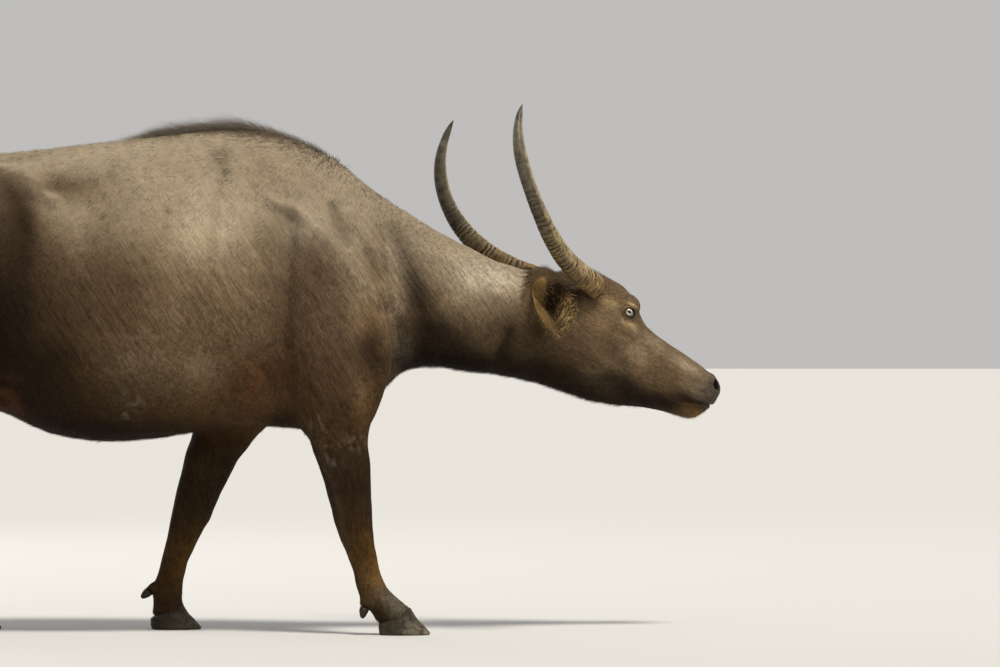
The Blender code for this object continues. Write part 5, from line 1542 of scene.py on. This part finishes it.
def eye_finish():
    """Black rim, pale cream ring and a dark level pupil under a wet coat."""
    finish, tree, shader = new_finish("eye", 0.12, 0.6)
    rings = colour_steps(tree, stored(tree, "from_gaze"), EYE_RINGS)
    squares = []
    for name, narrowness in (("across", 3.0), ("rise", 5.8)):
        squares.append(reckon(tree, "POWER", reckon(tree, "MULTIPLY", stored(tree, name), narrowness), 2.0))
    pupil = remap(tree, reckon(tree, "ADD", *squares), 0.8, 1.5, 1.0, 0.0)
    tree.links.new(mix_colours(tree, pupil, rings, PUPIL_BLACK), shader.inputs["Base Color"])
    shader.inputs["Coat Weight"].default_value = 0.8
    shader.inputs["Coat Roughness"].default_value = 0.04
    return finish


EYE = eye_finish()
for label, side in SIDES.items():
    eye = make_eye("eye_" + label, side)
    eye.data.materials.append(EYE)

# %% [markdown]
# ## The hooves
#
# Each claw is a half hoof of dull keratin with fine level growth lines, scuffed at the toe and grey with dust. The
# solid has the right shape but sharp facets, so a copy is remeshed finely and softened, and its top is drawn up
# under the skin so that no gap shows.

# %% Claws and dewclaws
CLAW_NAMES = sorted(name for name in nodes if name.startswith(("claw_", "dewclaw_")))
CLAW_VOXEL, DEWCLAW_VOXEL = 0.0022, 0.0015
GROWTH_LINE_SPACING, GROWTH_LINE_HEIGHT = 0.0056, 0.0005
CLAW_TUCK, CLAW_REACH_UP = 0.16, 0.012


def make_claw(name):
    """A softened copy of one claw, standing on the floor and reaching a little into the leg."""
    bm = bmesh.new()
    bm.from_mesh(nodes[name].data)
    bmesh.ops.remove_doubles(bm, verts=bm.verts, dist=0.00001)
    top = max(vert.co.z for vert in bm.verts)
    low = min(vert.co.z for vert in bm.verts)
    claw = add_object(name + "_keratin", mesh_from(bm, name))
    remesh(claw, CLAW_VOXEL if name.startswith("claw") else DEWCLAW_VOXEL)
    points = read_points(claw.data)
    edges = read_edges(claw.data)
    points = smoothed(points, edges, 14, 0.6)
    if name.startswith("claw"):
        points[points[:, 2] < low + 0.0012, 2] = low
        height = (points[:, 2] - low) / (top - low)
        write_points(claw.data, points)
        normals = read_normals(claw.data)
        lines = np.sin(points[:, 2] * 2 * math.pi / GROWTH_LINE_SPACING + 2.0 * ripple(points, 0.03, 17))
        lines += ripple(points, 0.018, 18)
        sideways = ramp(1 - np.abs(normals[:, 2]), 0.3, 0.8) * ramp(height, 0.05, 0.2)
        points += normals * (GROWTH_LINE_HEIGHT * lines * sideways)[:, None]
        middle = points.mean(axis=0)
        tucked = ramp(height, 0.45, 1.0)
        points[:, :2] += (middle[:2] - points[:, :2]) * (CLAW_TUCK * tucked)[:, None]
        points[:, 2] += CLAW_REACH_UP * ramp(height, 0.60, 1.0)
    write_points(claw.data, points)
    shade_smooth(claw)
    towards_toe = ramp(points[:, 0] - points[:, 0].mean(), -0.03, 0.05)
    store(claw.data, "dust", (0.25 + 0.75 * towards_toe) * (1.0 if "front_right" in name else 0.25))
    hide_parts(name)
    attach(claw, "root")
    return claw


CLAW_DARK, CLAW_BROWN, CLAW_DUST = paint(24, 18, 11), paint(50, 40, 26), paint(132, 124, 104)


def claw_finish():
    """Dull dark keratin with growth lines, paler scuffs and dust that thickens to the floor."""
    finish, tree, shader = new_finish("claw", 0.62, 0.16)
    coordinates = tree.nodes.new("ShaderNodeTexCoord").outputs["Object"]
    grain = place_group(tree, GRAIN, {"Vector": coordinates, "Cell Scale": 500.0, "Blotch Scale": 60.0}).outputs
    lines = streaks_along(tree, coordinates, (0, 0, 0), 0.05, 0.004)
    height = add_node(tree, "ShaderNodeSeparateXYZ", {}, {0: coordinates}).outputs["Z"]
    low = remap(tree, height, 0.0, 0.055, 1.0, 0.25)
    dust = reckon(tree, "MULTIPLY", reckon(tree, "MULTIPLY", low, grain[1]), stored(tree, "dust"))
    dusty = mix_colours(tree, dust, mix_colours(tree, lines[1], CLAW_DARK, CLAW_BROWN), CLAW_DUST)
    tree.links.new(dusty, shader.inputs["Base Color"])
    tree.links.new(remap(tree, dust, 0.0, 1.0, 0.5, 0.9), shader.inputs["Roughness"])
    tree.links.new(raised(tree, lines[0], 0.4, 0.0012), shader.inputs["Normal"])
    return finish


CLAW = claw_finish()
for name in CLAW_NAMES:
    make_claw(name).data.materials.append(CLAW)
print("claws:", len(CLAW_NAMES))

# %% [markdown]
# ## The coat
#
# A buffalo's hair is coarse and thin. Flat hair is already in the hide's finish, so mesh tufts go where the coat
# breaks the outline or catches the light: a bristly ridge on the withers, a fringe under throat and chin, the ears,
# the poll, the horns' roots, the belly line and the tail, with thinner flat hair all over. A tuft is a three-sided
# blade with a sunk root, and thousands of them are built at once as arrays, since particle hair can't be exported.

# %% An unwrap of the skin for the coat's colours
UNWRAP_TRIANGLES = 9000


def unwrapped_shape():
    """A thinned copy of the skin, unwrapped by its own shape: triangles, their points and their UV corners."""
    copy = add_object("unwrapped", skin.data.copy())
    thin = copy.modifiers.new("thin", "DECIMATE")
    thin.ratio = UNWRAP_TRIANGLES / len(copy.data.polygons)
    thin.use_collapse_triangulate = True
    apply_modifiers(copy)
    bpy.context.view_layer.objects.active = copy
    copy.select_set(True)
    bpy.ops.object.mode_set(mode="EDIT")
    bpy.ops.mesh.select_all(action="SELECT")
    bpy.ops.uv.smart_project(angle_limit=math.radians(66), island_margin=0.004)
    bpy.ops.object.mode_set(mode="OBJECT")
    mesh = copy.data
    corners = np.empty(len(mesh.loops) * 2, np.float32)
    mesh.uv_layers.active.data.foreach_get("uv", corners)
    points = read_points(mesh)
    faces = np.empty(len(mesh.polygons) * 3, np.int32)
    mesh.polygons.foreach_get("vertices", faces)
    faces = faces.reshape(-1, 3)
    bpy.data.objects.remove(copy)
    return points, faces, corners.reshape(-1, 3, 2).astype(float)


flat_points, flat_faces, flat_corners = unwrapped_shape()
flat_tree = BVHTree.FromPolygons(flat_points.tolist(), flat_faces.tolist())


def bake_places(roots):
    """Where each root lies on the unwrap."""
    found = np.empty(len(roots), int)
    hits = np.empty((len(roots), 3))
    for i, root in enumerate(roots.tolist()):
        hit, _, index, _ = flat_tree.find_nearest(root)
        found[i], hits[i] = index, hit
    a, b, c = (flat_points[flat_faces[found, k]] for k in range(3))
    one, two, to_hit = b - a, c - a, hits - a
    d11, d12, d22 = (one * one).sum(1), (one * two).sum(1), (two * two).sum(1)
    h1, h2 = (to_hit * one).sum(1), (to_hit * two).sum(1)
    under = np.maximum(d11 * d22 - d12 * d12, 1e-18)
    v, w = (d22 * h1 - d12 * h2) / under, (d11 * h2 - d12 * h1) / under
    uv = flat_corners[found]
    places = uv[:, 0] + (uv[:, 1] - uv[:, 0]) * v[:, None] + (uv[:, 2] - uv[:, 0]) * w[:, None]
    return np.clip(places, 0.003, 0.997)


print("unwrap:", len(flat_faces), "triangles")


# %% Sow roots on the skin
skin_faces = np.empty(len(skin.data.polygons) * 3, np.int32)
skin.data.polygons.foreach_get("vertices", skin_faces)
skin_faces = skin_faces.reshape(-1, 3)
skin_corners = skin_points[skin_faces]
one_side, other_side = skin_corners[:, 1] - skin_corners[:, 0], skin_corners[:, 2] - skin_corners[:, 0]
skin_areas = np.linalg.norm(np.cross(one_side, other_side), axis=1) / 2
skin_centres = skin_corners.mean(axis=1)
centre_normals = skin_normals[skin_faces].mean(axis=1)
centre_owner = skin_owner[skin_faces[:, 0]]


def sow(density, seed):
    """Random roots with this many to the square metre on each skin triangle: places, normals, owners."""
    draw = np.random.default_rng(seed)
    share = 1.0
    counts = np.floor(density * skin_areas * share + draw.random(len(skin_areas))).astype(int)
    chosen = np.repeat(np.arange(len(skin_areas)), counts)
    one, two = draw.random(len(chosen)), draw.random(len(chosen))
    over = one + two > 1
    one[over], two[over] = 1 - one[over], 1 - two[over]
    weights = np.stack([1 - one - two, one, two], axis=1)[:, :, None]
    places = (skin_corners[chosen] * weights).sum(axis=1)
    normals = (skin_normals[skin_faces[chosen]] * weights).sum(axis=1)
    normals /= np.linalg.norm(normals, axis=1, keepdims=True)
    return places, normals, centre_owner[chosen], draw


def along_skin(ways, normals):
    """Ways laid down along the skin."""
    return ways - normals * (ways * normals).sum(axis=1, keepdims=True)


def lie_of(points, normals, owner):
    """The way the hair lies at each root, along the skin."""
    ways = np.tile(np.array([-0.60, 0.0, -0.80]), (len(points), 1))
    height = points[:, 2]
    top = ramp(height, 1.20, 1.34)[:, None]
    ways = ways * (1 - top) + np.array([-1.0, 0.0, -0.10]) * top
    front = ramp(points[:, 0], -0.05, 0.20)[:, None]
    ways = ways * (1 - 0.6 * front) + np.array([-0.20, 0.0, -0.98]) * 0.6 * front
    low = ramp(-height, -0.66, -0.56)[:, None]
    ways = ways * (1 - low) + np.array([-0.75, 0.0, -0.60]) * low
    neck = in_regions(owner, "neck")[:, None]
    ways = ways * (1 - neck) + np.array([-0.72, -0.10, -0.60]) * neck
    face = np.array(turn_from_head((-0.80, 0, -0.55)))
    head = in_regions(owner, "head")[:, None]
    ways = ways * (1 - head) + face * head
    legs = in_regions(owner, *LEGS, "tail", "udder")[:, None]
    ways = ways * (1 - legs) + np.array([-0.18, 0.0, -0.98]) * legs
    return unit(along_skin(ways, normals))


# %% Build tufts as arrays
UV_PATCH = 0.003
CORE_SHADE = 0.86
TIP_SHADE = 1.12
BLADE_HEIGHT = 0.28


def make_tufts(
    name, roots, normals, ways, lengths, widths, colours, draw,
    rise=0.25, fall=0.15, sway=0.25, sections=2,
):
    """One mesh of three-sided blades. Each rises from its root, bends back over the skin and ends in a point."""
    count = len(roots)
    if not count:
        return None
    side_ways = np.cross(normals, ways)
    bend = draw.uniform(-sway, sway, count)
    rises = rise * draw.uniform(0.7, 1.4, count) if np.isscalar(rise) else rise
    falls = fall * draw.uniform(0.7, 1.3, count) if np.isscalar(fall) else fall
    lengths = lengths * draw.uniform(0.7, 1.25, count)
    sink = np.minimum(0.002, lengths * 0.15)
    rows = []
    for k in range(sections):
        share = k / sections
        middle = roots + ways * (lengths * share)[:, None] + side_ways * (lengths * bend * share**2)[:, None]
        middle += normals * (lengths * (rises * share - falls * share**2) - sink * (k == 0))[:, None]
        half = (widths / 2 * (1 - share) ** 0.5)[:, None]
        rows += [middle - side_ways * half, middle + side_ways * half, middle + normals * half * BLADE_HEIGHT]
    tip = roots + ways * lengths[:, None] + side_ways * (lengths * bend)[:, None]
    rows.append(tip + normals * (lengths * (rises - falls))[:, None])
    points = np.stack(rows, axis=1).reshape(-1, 3)
    each = 3 * sections + 1
    faces = [(0, 2, 1)]
    for k in range(sections - 1):
        low, high = 3 * k, 3 * (k + 1)
        for a, b in ((0, 1), (1, 2), (2, 0)):
            faces += [(low + a, low + b, high + b), (low + a, high + b, high + a)]
    last = 3 * (sections - 1)
    faces += [(last, last + 1, each - 1), (last + 1, last + 2, each - 1), (last + 2, last, each - 1)]
    faces = np.array(faces)
    volume = np.linalg.det(points[:each][faces] - points[:each].mean(0)).sum()
    if volume < 0:
        faces = faces[:, ::-1]
    triangles = (np.arange(count)[:, None, None] * each + faces[None]).reshape(-1, 3)
    mesh = bpy.data.meshes.new(name)
    mesh.vertices.add(len(points))
    mesh.vertices.foreach_set("co", points.astype(np.float32).ravel())
    mesh.loops.add(len(triangles) * 3)
    mesh.loops.foreach_set("vertex_index", triangles.astype(np.int32).ravel())
    mesh.polygons.add(len(triangles))
    mesh.polygons.foreach_set("loop_start", np.arange(0, len(triangles) * 3, 3, dtype=np.int32))
    mesh.update(calc_edges=True)
    # The small patch of each tuft on the unwrap: rows run up it, and the three sides lie side by side
    steps = np.array([[(k % 3) - 1, 2 * (k // 3) / sections - 1] for k in range(each - 1)] + [[0.0, 1.0]])
    corners = bake_places(roots)[:, None] + steps[None] * UV_PATCH / 2
    layer = mesh.uv_layers.new(name="OFBake")
    layer.data.foreach_set("uv", corners.reshape(-1, 2)[triangles.ravel()].astype(np.float32).ravel())
    shares = np.array([k // 3 / sections for k in range(each - 1)] + [1.0])
    shade = CORE_SHADE + (TIP_SHADE - CORE_SHADE) * shares
    varied = draw.uniform(0.82, 1.19, count)[:, None, None]
    painted = np.clip(colours[:, None] * varied * shade[None, :, None], 0, 1)
    store(mesh, "hide_colour", painted.reshape(-1, 3), "FLOAT_COLOR")
    store(mesh, "streaky", np.repeat(streakiness(roots), each))
    tufts = add_object(name, mesh)
    tufts.data.materials.append(HAIR)
    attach(tufts, "root")
    print(name, count, "tufts,", len(triangles), "triangles")
    return tufts


def hair_finish():
    """Coarse hair: the stored colour of its root's place, with the hide's own streaks and blotches."""
    finish, tree, shader = new_finish("hair", 0.62, 0.08)
    coordinates = tree.nodes.new("ShaderNodeTexCoord").outputs["Object"]
    grain = place_group(tree, GRAIN, {"Vector": coordinates, "Cell Scale": 300.0, "Blotch Scale": 16.0}).outputs
    light = remap(tree, streaks_along(tree, coordinates, *BODY_STREAKS)[1], 0.0, 1.0, *STREAK_LIGHT)
    strength = reckon(tree, "MULTIPLY", light, remap(tree, grain[1], 0.0, 1.0, *BLOTCH_LIGHT))
    eased = mix_values(tree, stored(tree, "streaky"), 1.0, strength)
    tree.links.new(lit(tree, stored(tree, "hide_colour", "Color"), eased), shader.inputs["Base Color"])
    tree.links.new(raised(tree, grain[1], 0.2, 0.001), shader.inputs["Normal"])
    return finish


HAIR = hair_finish()

# %% [markdown]
# Thin flat hair covers the whole body. It is split over a few pieces, because a piece should stay under 200,000
# triangles: the trunk's right and left sides, the neck, the legs, the coronets and the face.

# %% Flat body hair
torso_like = in_regions(centre_owner, "torso", "udder")
neck_like = in_regions(centre_owner, "neck")
head_like = in_regions(centre_owner, "head")
leg_like = in_regions(centre_owner, *LEGS)
ear_like = in_regions(centre_owner, *EARS)
right_side = (skin_centres[:, 1] < MIDDLE.y).astype(float)


def sow_flat(name, density, seed, length, width, rise=0.07, fall=0.05):
    """Flat hair with this density, coloured as the hide under it."""
    places, normals, owner, draw = sow(density, seed)
    ways = lie_of(places, normals, owner)
    side_ways = np.cross(normals, ways)
    stray = 0.22 * ripple(places, 0.10, seed) + draw.normal(0, 0.10, len(places))
    ways = unit(ways + side_ways * stray[:, None])
    colours = hide_colour(places, normals, owner)
    lengths, widths = np.full(len(places), length), np.full(len(places), width)
    return make_tufts(name, places, normals, ways, lengths, widths, colours, draw, rise, fall)


# Each coat: name, tufts to the square metre, seed, length, width, and how much a tuft rises and falls back
sow_flat("coat_trunk_right", 11000 * torso_like * right_side, 101, 0.022, 0.0010, 0.045, 0.035)
sow_flat("coat_trunk_left", 11000 * torso_like * (1 - right_side), 102, 0.022, 0.0010, 0.045, 0.035)
sow_flat("coat_neck", 26000 * neck_like, 103, 0.017, 0.0009, 0.05, 0.04)
sow_flat("coat_legs", 16000 * leg_like, 104, 0.013, 0.0010)
near_coronet = leg_like * (1 - ramp(skin_centres[:, 2], 0.075, 0.115))
sow_flat("coat_coronets", 60000 * near_coronet, 106, 0.014, 0.0010, 0.22, 0.12)
face_room = 1 - ramp(into_head(skin_centres)[:, 0], 0.36, 0.46)
for side in SIDES.values():
    edge, _, _ = almond(skin_centres, side)
    face_room *= ramp(edge, 1.8, 2.6)
sow_flat("coat_face", 38000 * head_like * face_room, 105, 0.007, 0.0007)


# %% [markdown]
# The longer hair comes next. A bristly ridge stands up along the withers and fades along the back, and the throat,
# chin and belly carry a loose fringe that hangs. Short pale hair stands on the poll and round each horn's root.

# %% Ridge and fringes
def sow_standing(name, density, seed, length, width, way, rise, fall, sections=3, tint=None, sway=0.3):
    """Longer hair that stands or hangs: way is the direction it leans, mixed with the coat's lie."""
    places, normals, owner, draw = sow(density, seed)
    ways = along_skin(lie_of(places, normals, owner) + np.array(way), normals)
    ways = unit(unit(ways) + draw.normal(0, 0.18, (len(places), 3)))
    ways = unit(along_skin(ways, normals))
    colours = hide_colour(places, normals, owner)
    if tint is not None:
        colours = colours * 0.35 + tint * 0.65
    lengths = length(places) if callable(length) else np.full(len(places), length)
    widths = np.full(len(places), width)
    return make_tufts(name, places, normals, ways, lengths, widths, colours, draw, rise, fall, sway, sections)


# Photo columns between which the ridge, its longest part and the back's thinner standing hair grow
RIDGE_SPAN, WITHERS_SPAN, BACK_SPAN = (138, 330), (160, 270), (-150, 420)


def over_spine(points, columns, half_width):
    """1 along the top of the back between two photo columns."""
    first, last = (photo_spot(column, 0)[0] for column in columns)
    edge = 0.06
    span = ramp(points[:, 0], first - edge, first + edge) * (1 - ramp(points[:, 0], last - edge, last + edge))
    middle = MIDDLE.y + 0.364 * np.maximum(0, points[:, 0] - MIDDLE.x - 0.20) ** 2
    return span * np.exp(-(((points[:, 1] - middle) / half_width) ** 2))


def ridge_length(points):
    """The ridge's hair is longest over the withers."""
    return 0.024 + 0.030 * over_spine(points, WITHERS_SPAN, 0.06)


ridge = over_spine(skin_centres, RIDGE_SPAN, 0.035) * torso_like * ramp(centre_normals[:, 2], 0.3, 0.7)
RIDGE_DARK = tone(76, 59, 41)
sow_standing("coat_ridge", 110000 * ridge, 111, ridge_length, 0.0014, (0, 0, 0), 0.75, 0.35, 3, RIDGE_DARK)
spine = np.clip(over_spine(skin_centres, BACK_SPAN, 0.05) - ridge, 0, 1) * np.clip(torso_like + neck_like, 0, 1)
sow_standing("coat_spine", 22000 * spine, 112, 0.020, 0.0014, (0, 0, 0), 0.35, 0.18, 2)

face_centres = into_head(skin_centres)
under = ramp(-centre_normals[:, 2], 0.35, 0.8)
throat = np.clip(neck_like + head_like * (1 - ramp(face_centres[:, 0], 0.20, 0.36)), 0, 1) * under
sow_standing("coat_throat", 42000 * throat, 113, 0.020, 0.0012, (0, 0, -0.6), 0.45, 0.25, 3)
chin = head_like * hill(face_centres, (0.470, 0, -0.055), (0.055, 0.06, 0.03))
chin *= ramp(-centre_normals[:, 2], 0.0, 0.5)
sow_standing("coat_chin", 90000 * chin, 114, 0.011, 0.0008, (0, 0, -0.4), 0.55, 0.20, 2)
belly = torso_like * ramp(-centre_normals[:, 2], 0.45, 0.85) * ramp(-skin_centres[:, 2], -0.80, -0.62)
sow_standing("coat_belly", 12000 * belly, 115, 0.020, 0.0013, (0, 0, -0.5), 0.35, 0.22, 2)
poll = head_like * ramp(-face_centres[:, 0], -0.10, 0.0) * ramp(centre_normals[:, 2], 0.2, 0.6)
sow_standing("coat_poll", 60000 * poll, 116, 0.020, 0.0011, (0.2, 0, 0), 0.45, 0.25, 3)

horn_root = head_like * hill(either_side(face_centres), (0.098, 0.100, 0.118), (0.026, 0.030, 0.024))
sow_standing("coat_horn_roots", 100000 * horn_root, 117, 0.015, 0.0009, (0, 0, 0.2), 0.55, 0.35, 3, STRAW, 0.6)

# %% [markdown]
# Ears are the softest part of the head. Hair stands out along their rims, lies along their backs, and long straw
# coloured strands grow from the front edge across the dark cup.

# %% Ear hair
def sow_ears(name, density, seed, lean, length, width, rise, fall, sections, light=None, stray=0.16):
    """Hair on the ears. Lean mixes the ways to the tip, across and out of the cup."""
    places, normals, owner, draw = sow(density, seed)
    along, _, _, side = ear_places(places)
    ways = sum(ear_way(number, side) * share for number, share in enumerate(lean))
    ways = along_skin(ways, normals)
    ways = unit(unit(ways) + draw.normal(0, stray, ways.shape))
    colours = hide_colour(places, normals, owner)
    if light is not None:
        share = (draw.random(len(places)) ** 1.2)[:, None]
        colours = colours * (1 - share) + light * share
    lengths = length * (0.7 + 0.5 * along)
    widths = np.full(len(places), width)
    return make_tufts(name, places, normals, ways, lengths, widths, colours, draw, rise, fall, 2 * stray, sections)


STRAW_HAIR = tone(206, 176, 120)
ear_along, ear_across, _, ear_side = ear_places(skin_centres)
inside_ear = ear_like * ramp((centre_normals * ear_way(2, ear_side)).sum(axis=1), 0.0, 0.35)
sow_ears("coat_ears", 80000 * ear_like * (1 - inside_ear), 121, (1, 0, 0), 0.011, 0.0010, 0.35, 0.10, 2)
rear_wall = ramp(-ear_across, 0.004, 0.022)
fleece = 90000 * inside_ear * (0.15 + rear_wall)
sow_ears("coat_ear_fleece", fleece, 122, (0.8, 0.5, 0.2), 0.018, 0.0008, 0.45, 0.20, 3, STRAW_HAIR)
front_rim = ramp(ear_across, 0.016, 0.034) * ramp(ear_along, 0.15, 0.35)
strands = 30000 * inside_ear * front_rim
sow_ears("coat_ear_strands", strands, 123, (0.75, -0.9, 0.1), 0.046, 0.0011, 0.24, 0.18, 4, STRAW_HAIR, 0.05)
low_cup = ramp(ear_along, 0.45, 0.75)
tips = 60000 * ear_like * low_cup
sow_ears("coat_ear_tips", tips, 124, (1, -0.2, 0), 0.020, 0.0008, 0.25, 0.12, 3, STRAW_HAIR * 0.8)

coats = [thing for thing in bpy.context.scene.objects if thing.name.startswith("coat_")]
print("coat:", sum(len(thing.data.polygons) for thing in coats), "triangles")

# %% [markdown]
# ## The tail's switch
#
# The tail ends in a loose tuft of long coarse hair. Strands start round the end of the tail and along its last
# hand's breadth, fall, spread a little and end at different heights, within the room that the solid switch holds.

# %% The switch
switch_low, switch_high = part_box("tail_switch")
switch_middle = (switch_low + switch_high) / 2
SWITCH_STRANDS = 1900


# How far the strands' roots reach up the tail, over what length they are spread, and the tail's radius there
SWITCH_OVERLAP, SWITCH_ROOT_SPREAD = 0.055, 0.17
TAIL_RADIUS = 0.0105
STRAND_WIDTH = 0.0030

tail_points = skin_points[skin_owner == FLESH.index("tail")]
tail_points = tail_points[tail_points[:, 2] < switch_high.z + 0.12]


def tail_middle(height):
    """The middle of the tail at this height, or of the switch where the tail has no points."""
    near = tail_points[np.abs(tail_points[:, 2] - height) < 0.010]
    return near.mean(axis=0) if len(near) else np.array((switch_middle.x, switch_middle.y, height))


def make_switch():
    """Long strands hanging round the tail's end."""
    draw = np.random.default_rng(131)
    count = SWITCH_STRANDS
    angles = draw.uniform(0, 2 * math.pi, count)
    heights = switch_high.z + SWITCH_OVERLAP - SWITCH_ROOT_SPREAD * draw.random(count) ** 1.3
    outward = np.stack([np.cos(angles), np.sin(angles), np.zeros(count)], axis=1)
    roots = np.array([tail_middle(max(height, switch_high.z + 0.004)) for height in heights.tolist()])
    roots += outward * TAIL_RADIUS
    roots[:, 2] = heights
    ends = switch_low.z + 0.01 + (switch_high.z - switch_low.z) * 0.38 * draw.random(count) ** 1.6
    lengths = (heights - ends) / 1.1
    ways = unit(np.tile(np.array([0.0, 0.0, -1.0]), (count, 1)) + outward * 0.02)
    colours = np.tile(tone(44, 34, 26), (count, 1)) + draw.uniform(0, 0.02, (count, 1))
    return make_tufts(
        "switch_hair", roots, outward, ways, lengths, np.full(count, STRAND_WIDTH), colours, draw,
        rise=draw.uniform(0.05, 0.28, count), fall=draw.uniform(0.04, 0.20, count),
        sway=0.10, sections=6,
    )


switch = make_switch()
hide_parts("tail_switch")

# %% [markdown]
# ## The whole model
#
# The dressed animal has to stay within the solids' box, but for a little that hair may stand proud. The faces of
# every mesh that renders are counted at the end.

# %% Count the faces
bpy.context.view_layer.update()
shown = [thing for thing in bpy.context.scene.objects if thing.type == "MESH" and not thing.hide_render]
print("whole model:", sum(len(thing.data.polygons) for thing in shown), "faces")
